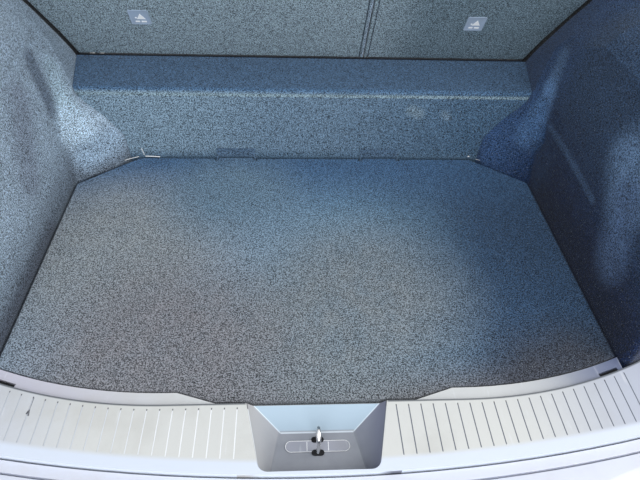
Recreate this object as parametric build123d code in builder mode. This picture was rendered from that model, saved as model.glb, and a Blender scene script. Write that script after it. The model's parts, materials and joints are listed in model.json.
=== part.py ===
from build123d import *

import os
from math import cos, degrees, asin, radians, sin, sqrt

# Luggage compartment of a compact crossover, in millimetres.
# X points to the right of the car, Y forward into the car, Z up.
# The origin is the middle of the four frame rail bolts, on the rails' lower face.

# Heights, from the rails' lower face up
rail_depth = 100.0
sheet = 2.0
board_lift = 54.0
board_thickness = 16.0
step_rise = 190.0
step_foam = 26.0

pan_z = rail_depth + sheet
board_z = pan_z + board_lift
floor_z = board_z + board_thickness
step_z = floor_z + step_rise
ledge_z = step_z - step_foam

# Lengths along the car, from the rail bolts' middle
tongue_y = -340.0
foot_y = 408.0
step_lean = 27.0
seat_foot_y = 620.0
cut_y = 720.0
heel_gap = 34.0

# Clearances
seat_gap = 0.3
move_gap = 5.0

# Frame rails and their bolts
bolt_spacing_x = 830.0
bolt_spacing_y = 520.0
bolt_hole_r = 6.5
rail_width = 90.0
rail_wall = 2.5
rail_flange = 14.0
rail_bend_y = 400.0
rail_rise_y = 560.0
rail_inner_x = (bolt_spacing_x - rail_width) / 2

# Spare wheel well in the pan
well_y = 30.0
well_rim_r = 325.0
well_floor_r = 313.0
well_depth = 132.0
well_boss_r = 40.0
well_boss_h = 42.0

# Load floor board
board_half = 595.0
board_corner_y = 292.0
board_corner_r = 30.0
board_nose_half = 458.0
tongue_half = 181.0
tongue_root_half = 253.0
board_rear_step = 29.0
board_edge_gap = 3.0
hinge_y = 398.0
hinge_front_gap = 1.0
hinge_pin_r = 4.0
hinge_play = 0.05
hinge_eye_width = 94.0
flap_width = 107.0
flap_rise = 25.0
flap_x = (-195.0, 202.5)

# Wheelhouses, turned about the rear wheel's axis
arch_y = 670.0
arch_z = 82.0
arch_side_x = board_half - 103
arch_step_x = board_half + 77
arch_outer_x = board_half + 165
arch_hub_r = 110.0
arch_inner_r = 250.0
arch_outer_r = 400.0

# Sill curves, seen from above: straight in the middle, then an arc forward
sill_y = -346.0
sill_straight = 270.0
sill_radius = 945.0
sill_half = board_half + 45
scuff_depth = 129.0
scuff_bow = 3100.0
scuff_rise = 5.0
scuff_wall = 3.0
scuff_skirt = 22.0
scuff_rib = 2.0
scuff_rib_x = (180.0, 330.0, 480.0)
sill_wall_offset = 30.0
cut_margin = 10.0
shelf_drop = 46.0
tail_flange = 22.0
tail_drop = 4.0
tail_y = sill_y - scuff_depth - tail_flange
rail_rear_y = tail_y + 38

# Seat backs
seat_lean = 28.0
seat_height = 580.0
seat_split_x = 159.5
seat_split_gap = 7.0
seat_panel = 10.0
seat_depth = 105.0
pivot_up = 30.0
pivot_in = 50.0

# Lining sections, right side, from the rear opening forward to the step.
# Columns: height over the load floor, then how far beyond the board's edge these lie:
# the wall's rear end, the wall's front end at the crease, the nose of the wheel bulge and
# the front edge at the step or the seat back. Last, how far behind the riser's foot
# the crease and the nose are.
lining_wall = 5.0
lining_hook = 50.0
lining_lead = 3.0
lower_sections = [
    (-70.0, 5, 5, -103, -119, 112, 25),
    (0.0, 5, 5, -103, -119, 112, 25),
    (62.0, 7, 8, -103, -119, 85, -8),
    (118.0, 10, 10, -57, -65, 104, -8),
    (150.0, 16, 13, -20, -29, 84, -12),
    (164.0, 19, 14, -10, -17, 71, -17),
]
upper_sections = [
    (164.0, 19, 14, -10, 35, 71, -17),
    (190.0, 23, 18, 2, 40, 30, -28),
    (212.0, 26, 20, 9, 43, 46, -37),
    (250.0, 30, 24, 20, 52, 23, -48),
    (300.0, 37, 31, 35, 67, 6, -56),
    (350.0, 43, 34, 49, 82, 58, -22),
    (400.0, 48, 34, 62, 101, 154, 58),
    (430.0, 66, 57, 83, 109, 152, 68),
    (470.0, 113, 109, 119, 125, 158, 78),
]
bend_radii = [12.0, 24.0, 45.0]
front_radius = 40.0


def seat_plane_y(height):
    """Y of the seat backs' rear faces at a height over the load floor."""
    return seat_foot_y - (height - step_rise) * sin(radians(seat_lean)) / cos(radians(seat_lean))


def riser_y(height):
    """Y of the step's riser at a height over the load floor."""
    return foot_y + step_lean * height / step_rise


def sill_y_at(x, offset):
    """Y of the sill's front edge at a place across the car, moved forward by offset."""
    run = max(0.0, abs(x) - sill_straight)
    return sill_y + sill_radius - sqrt((sill_radius - offset) ** 2 - run**2)


def side_points(row, upper):
    """Inner corners of one lining section, from the rear opening forward."""
    height, wall_out, crease_out, nose_out, front_out, crease_back, nose_back = row
    wall_x = board_half + wall_out
    hook_x = wall_x + lining_hook
    front_x = board_half + front_out
    points = [
        (hook_x, sill_y_at(hook_x, lining_lead)),
        (wall_x, sill_y_at(wall_x, lining_lead)),
        (board_half + crease_out, foot_y - crease_back),
        (board_half + nose_out, foot_y - nose_back),
    ]
    if upper:
        points.append((front_x, min(seat_plane_y(height), seat_foot_y) - move_gap))
        points.append((front_x, cut_y))
    else:
        points.append((front_x, riser_y(height) + heel_gap - 4))
    return points


def shifted(points, distance):
    """The same corners moved outward, so that every wall keeps its thickness."""
    moved = []
    for i, (x, y) in enumerate(points):
        normals = []
        for a, b in zip(points[max(i - 1, 0):], points[max(i - 1, 0) + 1:i + 2]):
            length = sqrt((b[0] - a[0]) ** 2 + (b[1] - a[1]) ** 2)
            normals.append(((b[1] - a[1]) / length, (a[0] - b[0]) / length))
        nx = sum(n[0] for n in normals) / len(normals)
        ny = sum(n[1] for n in normals) / len(normals)
        scale = distance / (nx * nx + ny * ny)
        moved.append((x + nx * scale, y + ny * scale))
    return moved


def sill_arc(offset, half):
    """Plan curve of the sill's front edge, moved forward by offset and cut at half a width."""
    y = sill_y + offset
    radius = sill_radius - offset
    middle = (sill_straight + half) / 2
    for side in (-1, 1):
        rise = [radius - sqrt(radius**2 - (x - sill_straight) ** 2) for x in (middle, half)]
        ThreePointArc(
            (side * sill_straight, y),
            (side * middle, y + rise[0]),
            (side * half, y + rise[1]),
        )
    Line((-sill_straight, y), (sill_straight, y))
    return y + rise[1]


def rear_arc(y, half):
    """Plan curve of the car's tail, bowed rearward, through y at the middle."""
    end = y + scuff_bow - sqrt(scuff_bow**2 - half**2)
    ThreePointArc((-half, end), (0, y), (half, end))
    return end


def band(rear_y, front_offset, half):
    """Plan face between the tail curve and the sill curve."""
    with BuildSketch() as face:
        with BuildLine():
            end_front = sill_arc(front_offset, half)
            end_rear = rear_arc(rear_y, half)
            Line((-half, end_front), (-half, end_rear))
            Line((half, end_front), (half, end_rear))
        make_face()
    return face.sketch


def tail_band(rear_y, front_y, half):
    """Plan face between two tail curves."""
    with BuildSketch() as face:
        with BuildLine():
            end_rear = rear_arc(rear_y, half)
            end_front = rear_arc(front_y, half)
            Line((-half, end_rear), (-half, end_front))
            Line((half, end_rear), (half, end_front))
        make_face()
    return face.sketch


def write(builder, name):
    builder.part.label = name
    export_step(builder.part, f"parts/{name}.step")


os.makedirs("parts", exist_ok=True)

# Pan: flat floor with pressed beads, the heel and the raised ledge under the step
pan_half = board_half + 55
pan_bead_x = (495.0, 545.0, 595.0)
pan_bead_y = -20.0
pan_bead_length = 380.0
pan_bead_width = 26.0
pan_bead_depth = 5.0
ledge_half = board_half + board_edge_gap
heel_y = foot_y + heel_gap
heel_top_y = heel_y + step_lean
with BuildPart() as floor_pan:
    with BuildSketch(Plane.XY.offset(rail_depth)):
        with BuildLine():
            end = sill_arc(sill_wall_offset - sheet, ledge_half)
            Polyline(
                (ledge_half, end), (pan_half, end), (pan_half, arch_y - arch_inner_r),
                (arch_side_x, arch_y - arch_inner_r), (arch_side_x, heel_y),
                (-arch_side_x, heel_y), (-arch_side_x, arch_y - arch_inner_r),
                (-pan_half, arch_y - arch_inner_r), (-pan_half, end), (-ledge_half, end),
            )
        make_face()
        with Locations((0, well_y)):
            Circle(well_rim_r, mode=Mode.SUBTRACT)
    extrude(amount=sheet)
    bead_places = [(side * x, pan_bead_y) for side in (-1, 1) for x in pan_bead_x]
    with BuildSketch(Plane.XY.offset(rail_depth - pan_bead_depth)):
        with Locations(bead_places):
            SlotOverall(pan_bead_length, pan_bead_width, rotation=90)
    extrude(amount=pan_bead_depth)
    with BuildSketch(Plane.XY.offset(pan_z - pan_bead_depth)):
        with Locations(bead_places):
            SlotOverall(pan_bead_length - 2 * sheet, pan_bead_width - 2 * sheet, rotation=90)
    extrude(amount=pan_bead_depth, mode=Mode.SUBTRACT)
    with BuildSketch(Plane.YZ.offset(-arch_side_x)):
        with BuildLine():
            Polyline(
                (heel_y, rail_depth), (heel_top_y, ledge_z - sheet), (cut_y, ledge_z - sheet),
                (cut_y, ledge_z), (heel_top_y - sheet, ledge_z), (heel_y - sheet, pan_z),
                (heel_y - sheet, rail_depth), (heel_y, rail_depth),
            )
        make_face()
    extrude(amount=2 * arch_side_x)
    wing_rear_y = heel_top_y + 40
    for side in (-1, 1):
        with BuildSketch(Plane.XY.offset(ledge_z - sheet)):
            with Locations((side * (pan_half + arch_side_x) / 2, (cut_y + wing_rear_y) / 2)):
                Rectangle(pan_half - arch_side_x, cut_y - wing_rear_y)
        extrude(amount=sheet)
write(floor_pan, "floor_pan")

# Spare wheel well: round pressed tub with a raised boss, hung in the pan's hole
well_floor_top = pan_z - well_depth
boss_top = well_floor_top + well_boss_h
with BuildPart() as spare_well:
    with BuildSketch(Plane.XZ.offset(-well_y)):
        with BuildLine():
            Polyline(
                (0, boss_top), (well_boss_r, boss_top), (well_boss_r + 14, well_floor_top),
                (well_floor_r, well_floor_top), (well_rim_r - sheet, pan_z), (well_rim_r, pan_z),
                (well_rim_r, rail_depth), (well_floor_r + sheet, well_floor_top - sheet),
                (well_boss_r + 12, well_floor_top - sheet), (well_boss_r - 2, boss_top - sheet),
                (0, boss_top - sheet), close=True,
            )
        make_face()
    revolve(axis=Axis((0, well_y, 0), (0, 0, 1)))
write(spare_well, "spare_well")

# Frame rails: open channels under the pan that rise over the axle
for side, side_name in ((-1, "left"), (1, "right")):
    inner = side * rail_inner_x
    with BuildPart() as rail:
        with BuildSketch(Plane.YZ.offset(inner)):
            with BuildLine():
                Polyline(
                    (rail_rear_y, 0), (rail_bend_y, 0), (rail_rise_y, ledge_z - sheet - rail_depth),
                    (cut_y, ledge_z - sheet - rail_depth), (cut_y, ledge_z - sheet),
                    (heel_top_y, ledge_z - sheet), (heel_y, rail_depth),
                    (rail_rear_y, rail_depth), (rail_rear_y, 0),
                )
            make_face()
        extrude(amount=side * rail_width)
        with BuildSketch(Plane.YZ.offset(inner + side * rail_wall)):
            with BuildLine():
                Polyline(
                    (rail_rear_y - 10, rail_wall), (rail_bend_y - 1, rail_wall),
                    (rail_rise_y - 1, ledge_z - sheet - rail_depth + rail_wall),
                    (cut_y + 10, ledge_z - sheet - rail_depth + rail_wall),
                    (cut_y + 10, ledge_z + 10), (rail_rear_y - 10, ledge_z + 10),
                    (rail_rear_y - 10, rail_wall),
                )
            make_face()
        extrude(amount=side * (rail_width - 2 * rail_wall), mode=Mode.SUBTRACT)
        with BuildSketch(Plane.XY.offset(rail_depth - rail_wall)):
            for x in (inner - side * rail_flange / 2, inner + side * (rail_width + rail_flange / 2)):
                with Locations((x, (rail_rear_y + heel_y) / 2)):
                    Rectangle(rail_flange, heel_y - rail_rear_y)
        extrude(amount=rail_wall)
        with BuildSketch(Plane.XY):
            with Locations(
                (side * bolt_spacing_x / 2, -bolt_spacing_y / 2),
                (side * bolt_spacing_x / 2, bolt_spacing_y / 2),
            ):
                Circle(bolt_hole_r)
        extrude(amount=rail_wall, mode=Mode.SUBTRACT)
    write(rail, f"rail_{side_name}")

# Cross member between the rails, under the ledge
cross_y = 640.0
cross_width = 90.0
with BuildPart() as cross_member:
    with BuildSketch(Plane.YZ.offset(-rail_inner_x)):
        with Locations((cross_y, ledge_z - sheet - rail_depth / 2)):
            Rectangle(cross_width, rail_depth)
        with Locations((cross_y, ledge_z - sheet - rail_depth / 2 + rail_wall)):
            Rectangle(cross_width - 2 * rail_wall, rail_depth, mode=Mode.SUBTRACT)
    extrude(amount=2 * rail_inner_x)
write(cross_member, "cross_member")

# Wheelhouses: stepped pressings turned about the wheel's axis, cut off ahead of the ledge
for side, side_name in ((-1, "left"), (1, "right")):
    with BuildPart() as wheelhouse:
        with BuildSketch(Plane.XY.offset(arch_z)):
            with BuildLine():
                Polyline(
                    (side * arch_side_x, arch_y - arch_hub_r),
                    (side * arch_side_x, arch_y - arch_inner_r),
                    (side * arch_step_x, arch_y - arch_inner_r),
                    (side * arch_step_x, arch_y - arch_outer_r),
                    (side * arch_outer_x, arch_y - arch_outer_r),
                    (side * arch_outer_x, arch_y - arch_outer_r + sheet),
                    (side * (arch_step_x + sheet), arch_y - arch_outer_r + sheet),
                    (side * (arch_step_x + sheet), arch_y - arch_inner_r + sheet),
                    (side * (arch_side_x + sheet), arch_y - arch_inner_r + sheet),
                    (side * (arch_side_x + sheet), arch_y - arch_hub_r),
                    (side * arch_side_x, arch_y - arch_hub_r),
                )
            make_face()
        revolve(axis=Axis((0, arch_y, arch_z), (-1, 0, 0)), revolution_arc=95)
    write(wheelhouse, f"wheelhouse_{side_name}")

# Rear panel: shelf under the sill, a front wall on the pan, and the tail wall with its top flange
tail_low_z = -30.0
shelf_z = floor_z - shelf_drop
flange_z = floor_z - tail_drop
with BuildPart() as rear_panel:
    with BuildSketch(Plane.XY.offset(shelf_z - sheet)):
        add(band(tail_y, sill_wall_offset, ledge_half))
        add(band(tail_y, -scuff_wall, sill_half))
    extrude(amount=sheet)
    with BuildSketch(Plane.XY.offset(pan_z)):
        add(band(tail_y, sill_wall_offset, ledge_half))
        add(band(tail_y - cut_margin, sill_wall_offset - sheet, ledge_half + cut_margin), mode=Mode.SUBTRACT)
    extrude(amount=shelf_z - sheet - pan_z)
    with BuildSketch(Plane.XY.offset(tail_low_z)):
        add(tail_band(tail_y, tail_y + sheet, sill_half))
    extrude(amount=flange_z - tail_low_z)
    with BuildSketch(Plane.XY.offset(flange_z - sheet)):
        add(tail_band(tail_y, tail_y + tail_flange - scuff_wall, sill_half))
    extrude(amount=sheet)
write(rear_panel, "rear_panel")

# Sill ledge: hollow moulded strip behind the board, with the lip that carries the board's edge
ledge_wall = 3.0
ledge_rib = 2.0
ledge_rib_x = (60.0, 180.0, 300.0, 420.0, 540.0)
ledge_front = board_rear_step - board_edge_gap
board_rear_y = sill_y + board_rear_step
tongue_slope = (tongue_root_half - tongue_half) / (board_rear_y - tongue_y)
recess_half = tongue_half + 10
notch_x = 567.0
notch_length = 44.0
notch_width = 8.0
ledge_back = 1.0
with BuildPart() as sill_ledge:
    with BuildSketch(Plane.XY.offset(shelf_z)):
        add(band(tail_y, board_rear_step, ledge_half))
        add(band(tail_y - cut_margin, ledge_back, ledge_half + cut_margin), mode=Mode.SUBTRACT)
    extrude(amount=board_z - seat_gap - shelf_z)
    with BuildSketch(Plane.XY.offset(board_z - seat_gap)):
        add(band(tail_y, ledge_front, ledge_half))
        add(band(tail_y - cut_margin, ledge_back, ledge_half + cut_margin), mode=Mode.SUBTRACT)
        with BuildLine():
            front_half = recess_half + tongue_slope * (board_rear_y + cut_margin - tongue_y)
            back_half = recess_half - tongue_slope * cut_margin
            Polyline(
                (-front_half, board_rear_y + cut_margin), (front_half, board_rear_y + cut_margin),
                (back_half, tongue_y - cut_margin), (-back_half, tongue_y - cut_margin), close=True,
            )
        make_face(mode=Mode.SUBTRACT)
    extrude(amount=board_thickness - seat_gap)
    with BuildSketch(Plane.XY.offset(shelf_z)):
        add(band(tail_y, ledge_front - ledge_wall, ledge_half - ledge_wall))
        add(band(tail_y - cut_margin, ledge_back + ledge_wall, ledge_half), mode=Mode.SUBTRACT)
        for x in ledge_rib_x:
            with Locations((x, sill_y), (-x, sill_y)):
                Rectangle(ledge_rib, 2 * scuff_depth, mode=Mode.SUBTRACT)
    extrude(amount=board_z - seat_gap - ledge_wall - shelf_z, mode=Mode.SUBTRACT)
    for side in (-1, 1):
        turn = side * degrees(asin((notch_x - sill_straight) / sill_radius))
        with BuildSketch(Plane.XY.offset(board_z)):
            with Locations(Location((side * notch_x, sill_y_at(notch_x, notch_width / 2 - 1)), turn)):
                Rectangle(notch_length, notch_width + 4)
        extrude(amount=board_thickness, mode=Mode.SUBTRACT)
write(sill_ledge, "sill_ledge")

# Scuff plate: curved grooved moulding over the shelf, with the sloping latch well in the middle
groove_pitch = 22.5
groove_width = 2.0
groove_depth = 1.0
groove_front_gap = 8.0
groove_back_gap = 25.0
groove_start = 12.5
groove_end_gap = 20.0
well_drop = 45.0
slot_length = 115.0
slot_width = 21.0
slot_cover_h = 2.5
slot_y = sill_y - 62.5
striker_r = 4.0
striker_reach = 23.5
striker_height = 56.0
striker_plate = 2.5
striker_base = (60.0, 40.0)
scuff_top = floor_z + scuff_rise
scuff_rear_y = sill_y - scuff_depth
well_floor_z = scuff_top - well_drop
# The well's top and floor. Columns: front edge ahead of the sill's edge, half width there,
# rear edge ahead of the tail's edge, half width there, radius of the rear corners.
well_top = (12.0, 129.5, 6.0, 100.0, 18.0)
well_floor = (-36.0, 66.0, 10.0, 85.0, 10.0)


def well_sections(grow, floor):
    """Plan outlines of the latch well at its top and floor, grown by a wall."""
    sections = []
    for height, row in ((scuff_top, well_top), (floor, well_floor)):
        front, front_half, back, back_half, corner = row
        front_y = sill_y + front + grow
        back_y = scuff_rear_y + back - grow
        with BuildSketch(Plane.XY.offset(height)) as section:
            with BuildLine():
                Polyline(
                    (-front_half - grow, front_y), (front_half + grow, front_y),
                    (back_half + grow, back_y), (-back_half - grow, back_y), close=True,
                )
            make_face()
            fillet(section.vertices().group_by(Axis.Y)[0], corner + grow)
        sections.append(section.sketch)
    return sections


with BuildPart() as scuff_plate:
    with BuildSketch(Plane.XY.offset(scuff_top - scuff_skirt)):
        add(band(scuff_rear_y, 0, sill_half))
    extrude(amount=scuff_skirt)
    with BuildSketch(Plane.XY.offset(scuff_top - scuff_skirt)):
        add(band(scuff_rear_y + scuff_wall, -scuff_wall, sill_half - scuff_wall))
        for x in scuff_rib_x:
            with Locations((x, sill_y), (-x, sill_y)):
                Rectangle(scuff_rib, 3 * scuff_depth, mode=Mode.SUBTRACT)
    extrude(amount=scuff_skirt - scuff_wall, mode=Mode.SUBTRACT)
    with BuildSketch(Plane.XY.offset(scuff_top)):
        groove_first = well_top[1] + groove_start
        count = int((sill_half - groove_end_gap - groove_first) / groove_pitch)
        for side in (-1, 1):
            for i in range(count):
                x = side * (groove_first + i * groove_pitch)
                front = sill_y_at(x, 0) - groove_front_gap
                back = scuff_rear_y + x * x / (2 * scuff_bow) + groove_back_gap
                with Locations((x, (front + back) / 2)):
                    Rectangle(groove_width, front - back)
    extrude(amount=-groove_depth, mode=Mode.SUBTRACT)
    loft(sections=well_sections(scuff_wall, well_floor_z - scuff_wall), ruled=True)
    loft(sections=well_sections(0, well_floor_z), ruled=True, mode=Mode.SUBTRACT)
    with BuildSketch(Plane.XY.offset(well_floor_z - scuff_wall)):
        with Locations((0, sill_y + well_top[0])):
            Rectangle(3 * well_top[1], 2 * well_top[0])
    extrude(amount=well_drop + cut_margin, mode=Mode.SUBTRACT)
    with BuildSketch(Plane.XY.offset(well_floor_z - scuff_wall)):
        with Locations((0, slot_y - striker_reach / 2), (0, slot_y + striker_reach / 2)):
            Circle(striker_r + seat_gap)
    extrude(amount=scuff_wall, mode=Mode.SUBTRACT)
write(scuff_plate, "scuff_plate")

# Slot cover: oblong insert round the striker's legs
with BuildPart() as slot_cover:
    with BuildSketch(Plane.XY.offset(well_floor_z)):
        with Locations((0, slot_y)):
            SlotOverall(slot_length, slot_width)
        with Locations((0, slot_y - striker_reach / 2), (0, slot_y + striker_reach / 2)):
            Circle(striker_r + seat_gap, mode=Mode.SUBTRACT)
    extrude(amount=slot_cover_h)
write(slot_cover, "slot_cover")

# Striker: wire loop on its base plate, which sits on the shelf
with BuildPart() as striker:
    with BuildLine() as wire:
        low = shelf_z + striker_plate / 2
        rear_leg_y = slot_y - striker_reach / 2
        front_leg_y = slot_y + striker_reach / 2
        bend_z = well_floor_z + striker_height - striker_reach / 2
        Line((0, rear_leg_y, low), (0, rear_leg_y, bend_z))
        ThreePointArc(
            (0, rear_leg_y, bend_z), (0, slot_y, bend_z + striker_reach / 2), (0, front_leg_y, bend_z)
        )
        Line((0, front_leg_y, bend_z), (0, front_leg_y, low))
    with BuildSketch(Plane(origin=(0, rear_leg_y, low), z_dir=(0, 0, 1))):
        Circle(striker_r)
    sweep(path=wire.line)
    with BuildSketch(Plane.XY.offset(shelf_z)):
        with Locations((0, slot_y)):
            RectangleRounded(*striker_base, 6)
    extrude(amount=striker_plate)
write(striker, "striker")

# Bumper cover: bowed top with the seam behind the flange, rounded shoulder and face
bumper_depth = 105.0
bumper_height = 260.0
bumper_wall = 3.0
bumper_half = 690.0
bumper_end = 40.0
bumper_web = 40.0
bumper_round = 30.0
seam_width = 3.0
seam_depth = 8.0
bumper_top = flange_z - 2
bumper_low = bumper_top - bumper_height
bumper_outer_y = tail_y + scuff_bow - sqrt(scuff_bow**2 - bumper_half**2) - bumper_end
with BuildPart() as bumper_cover:
    for inner_y, inset, low, height, mode in (
        (tail_y - seat_gap, 0, bumper_low, bumper_height, Mode.ADD),
        (tail_y + 20, bumper_wall, bumper_low - 1, bumper_height + 1 - bumper_web, Mode.SUBTRACT),
    ):
        half = bumper_half - inset
        outer_y = bumper_outer_y + inset
        with BuildSketch(Plane.XY.offset(low)):
            with BuildLine():
                inner_end = rear_arc(inner_y, half)
                ThreePointArc((-half, outer_y), (0, tail_y - bumper_depth + inset), (half, outer_y))
                Line((-half, inner_end), (-half, outer_y))
                Line((half, inner_end), (half, outer_y))
            make_face()
        extrude(amount=height, mode=mode)
        if mode == Mode.ADD:
            fillet(bumper_cover.edges().group_by(Axis.Z)[-1].sort_by(Axis.Y)[0], bumper_round)
    with BuildSketch(Plane.XY.offset(bumper_top - seam_depth)):
        add(tail_band(tail_y - seam_width, tail_y + seam_width, bumper_half + 10))
    extrude(amount=seam_depth, mode=Mode.SUBTRACT)
write(bumper_cover, "bumper_cover")


def lining_sections(rows, upper):
    """Plan outlines of the right-hand shell at each height."""
    inner_radii = bend_radii + [front_radius] * upper
    outer_radii = [r + turn * lining_wall for r, turn in zip(inner_radii, (-1, 1, -1, 1))]
    sections = []
    for row in rows:
        inner = side_points(row, upper)
        outer = shifted(inner, lining_wall)
        with BuildSketch(Plane.XY.offset(floor_z + row[0])) as section:
            with BuildLine():
                FilletPolyline(*inner, radius=inner_radii)
                FilletPolyline(*outer, radius=outer_radii)
                Line(inner[0], outer[0])
                Line(inner[-1], outer[-1])
            make_face()
        sections.append(section.sketch)
    return sections


# Side linings: moulded carpet shells with the wheel bulge and the shoulder
with BuildPart() as side_lining_right:
    loft(sections=lining_sections(lower_sections, False), ruled=True)
    loft(sections=lining_sections(upper_sections, True), ruled=True)
write(side_lining_right, "side_lining_right")
with BuildPart() as side_lining_left:
    mirror(side_lining_right.part, about=Plane.YZ)
write(side_lining_left, "side_lining_left")


def space_sections(rows, upper, inset):
    """Plan outlines of the space between the linings, up to the front cut."""
    sections = []
    for row in rows:
        right = [(x - inset, y) for x, y in side_points(row, upper)[1:]]
        if not upper:
            right.append((right[-1][0], cut_y))
        outline = right + [(-x, y) for x, y in right[::-1]]
        with BuildSketch(Plane.XY.offset(floor_z + row[0])) as section:
            with BuildLine():
                Polyline(*outline, close=True)
            make_face()
        sections.append(section.sketch)
    return sections


# Step: carpeted foam riser and ledge in front of the seat backs
riser_inset = 1.0
riser_round = 14.0
with BuildPart() as step_riser:
    loft(sections=space_sections(lower_sections, False, riser_inset), ruled=True)
    loft(sections=space_sections(upper_sections[:2], True, riser_inset), ruled=True)
    with BuildSketch(Plane.YZ.offset(-arch_outer_x)) as profile:
        with BuildLine():
            Polyline(
                (foot_y, pan_z), (foot_y, floor_z), (foot_y + step_lean, step_z),
                (seat_foot_y - move_gap, step_z), (seat_foot_y - move_gap, ledge_z),
                (heel_top_y - sheet, ledge_z), (heel_y - sheet, pan_z), (foot_y, pan_z),
            )
        make_face()
        fillet(profile.vertices().sort_by_distance((foot_y + step_lean, step_z, 0))[0], riser_round)
    extrude(amount=2 * arch_outer_x, mode=Mode.INTERSECT)
write(step_riser, "step_riser")

# Foam tray: carries the board, with pockets and the round opening over the spare wheel
tray_half = board_half - 1
tray_margin = 8.0
pocket_depth = 40.0
pocket_corner = 18.0
pockets = [
    # x, y, length across, width along
    (475.0, -165.0, 170.0, 120.0),
    (482.0, 15.0, 156.0, 170.0),
    (462.0, 195.0, 170.0, 110.0),
]
with BuildPart() as tool_tray:
    with BuildSketch(Plane.XY.offset(pan_z)):
        with BuildLine():
            end = sill_arc(board_rear_step + 2, tray_half)
            corner = (tray_half, board_corner_y - tray_margin)
            nose = (board_nose_half - tray_margin, foot_y - tray_margin)
            Polyline(
                (tray_half, end), corner, nose, (-nose[0], nose[1]), (-corner[0], corner[1]),
                (-tray_half, end),
            )
        make_face()
        with Locations((0, well_y)):
            Circle(well_rim_r - 4, mode=Mode.SUBTRACT)
    extrude(amount=board_lift - seat_gap)
    with BuildSketch(Plane.XY.offset(board_z - seat_gap - pocket_depth)):
        for x, y, length, width in pockets:
            with Locations((x, y), (-x, y)):
                RectangleRounded(length, width, pocket_corner)
    extrude(amount=pocket_depth, mode=Mode.SUBTRACT)
write(tool_tray, "tool_tray")

# Spare wheel, lying in the well
tyre_r = 303.0
tyre_width = 120.0
rim_r = 205.0
spare_low = well_floor_top + seat_gap
with BuildPart() as spare_tyre:
    with BuildSketch(Plane.XZ.offset(-well_y)):
        with BuildLine():
            Polyline(
                (rim_r, spare_low + 8), (rim_r + 14, spare_low + 2), (tyre_r - 26, spare_low),
                (tyre_r - 6, spare_low + 14), (tyre_r, spare_low + 30),
                (tyre_r, spare_low + tyre_width - 30), (tyre_r - 6, spare_low + tyre_width - 14),
                (tyre_r - 26, spare_low + tyre_width), (rim_r + 14, spare_low + tyre_width - 2),
                (rim_r, spare_low + tyre_width - 8), close=True,
            )
        make_face()
    revolve(axis=Axis((0, well_y, 0), (0, 0, 1)))
write(spare_tyre, "spare_tyre")

hub_z = boss_top
hub_hole_r = 30.0
rim_disc = 6.0
rim_top = spare_low + tyre_width + 2
with BuildPart() as spare_rim:
    with BuildSketch(Plane.XZ.offset(-well_y)):
        with BuildLine():
            Polyline(
                (rim_r, spare_low + 8), (rim_r, rim_top - 10), (rim_r + 8, rim_top - 4),
                (rim_r + 6, rim_top), (rim_r - 4, rim_top - 8), (rim_r - 4, spare_low + 60),
                (rim_r - 24, hub_z + 24), (130, hub_z + 26), (100, hub_z + rim_disc),
                (hub_hole_r, hub_z + rim_disc), (hub_hole_r, hub_z), (104, hub_z), (132, hub_z + 17),
                (rim_r - 20, hub_z + 12), (rim_r - 4, spare_low + 16), close=True,
            )
        make_face()
    revolve(axis=Axis((0, well_y, 0), (0, 0, 1)))
    with BuildSketch(Plane.XY.offset(hub_z - 1)):
        with Locations((0, well_y)):
            with PolarLocations(50, 5):
                Circle(7.5)
    extrude(amount=20, mode=Mode.SUBTRACT)
write(spare_rim, "spare_rim")

# Hold-down: threaded rod with a wide grip nut
with BuildPart() as hold_down:
    with BuildSketch(Plane.XY.offset(hub_z)):
        with Locations((0, well_y)):
            Circle(5)
    extrude(amount=42)
    with BuildSketch(Plane.XY.offset(hub_z + rim_disc + seat_gap)):
        with Locations((0, well_y)):
            Circle(42)
            with PolarLocations(42, 6):
                Circle(6, mode=Mode.SUBTRACT)
    extrude(amount=22)
write(hold_down, "hold_down")

# Load floor: carpeted board with the tongue at the rear and two hinge eyes at the front
hinge_z = board_z + board_thickness / 2
hinge_neck = 18.0
board_front_y = hinge_y - hinge_front_gap
with BuildPart() as load_floor:
    with BuildSketch(Plane.XY.offset(board_z)):
        with BuildLine():
            end = sill_arc(board_rear_step, board_half)
            Polyline(
                (board_half, end), (board_half, board_corner_y), (board_nose_half, board_front_y),
                (-board_nose_half, board_front_y), (-board_half, board_corner_y), (-board_half, end),
            )
        make_face()
        with BuildLine():
            Polyline(
                (-tongue_root_half, board_rear_y), (-tongue_half, tongue_y),
                (tongue_half, tongue_y), (tongue_root_half, board_rear_y), close=True,
            )
        make_face()
        with Locations([(x, board_front_y) for x in flap_x]):
            Rectangle(flap_width + 2 * move_gap, hinge_neck - 2, mode=Mode.SUBTRACT)
    extrude(amount=board_thickness)
    corners = [e for e in load_floor.edges().filter_by(Axis.Z) if abs(e.center().Y - board_corner_y) < 1]
    fillet(corners, board_corner_r)
    for x in flap_x:
        with BuildSketch(Plane.YZ.offset(x - hinge_eye_width / 2)):
            with Locations((hinge_y, hinge_z)):
                Circle(board_thickness / 2)
            with Locations((hinge_y - hinge_neck / 2, hinge_z)):
                Rectangle(hinge_neck, board_thickness)
            with Locations((hinge_y, hinge_z)):
                Circle(hinge_pin_r + hinge_play, mode=Mode.SUBTRACT)
        extrude(amount=hinge_eye_width)
write(load_floor, "load_floor")

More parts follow.
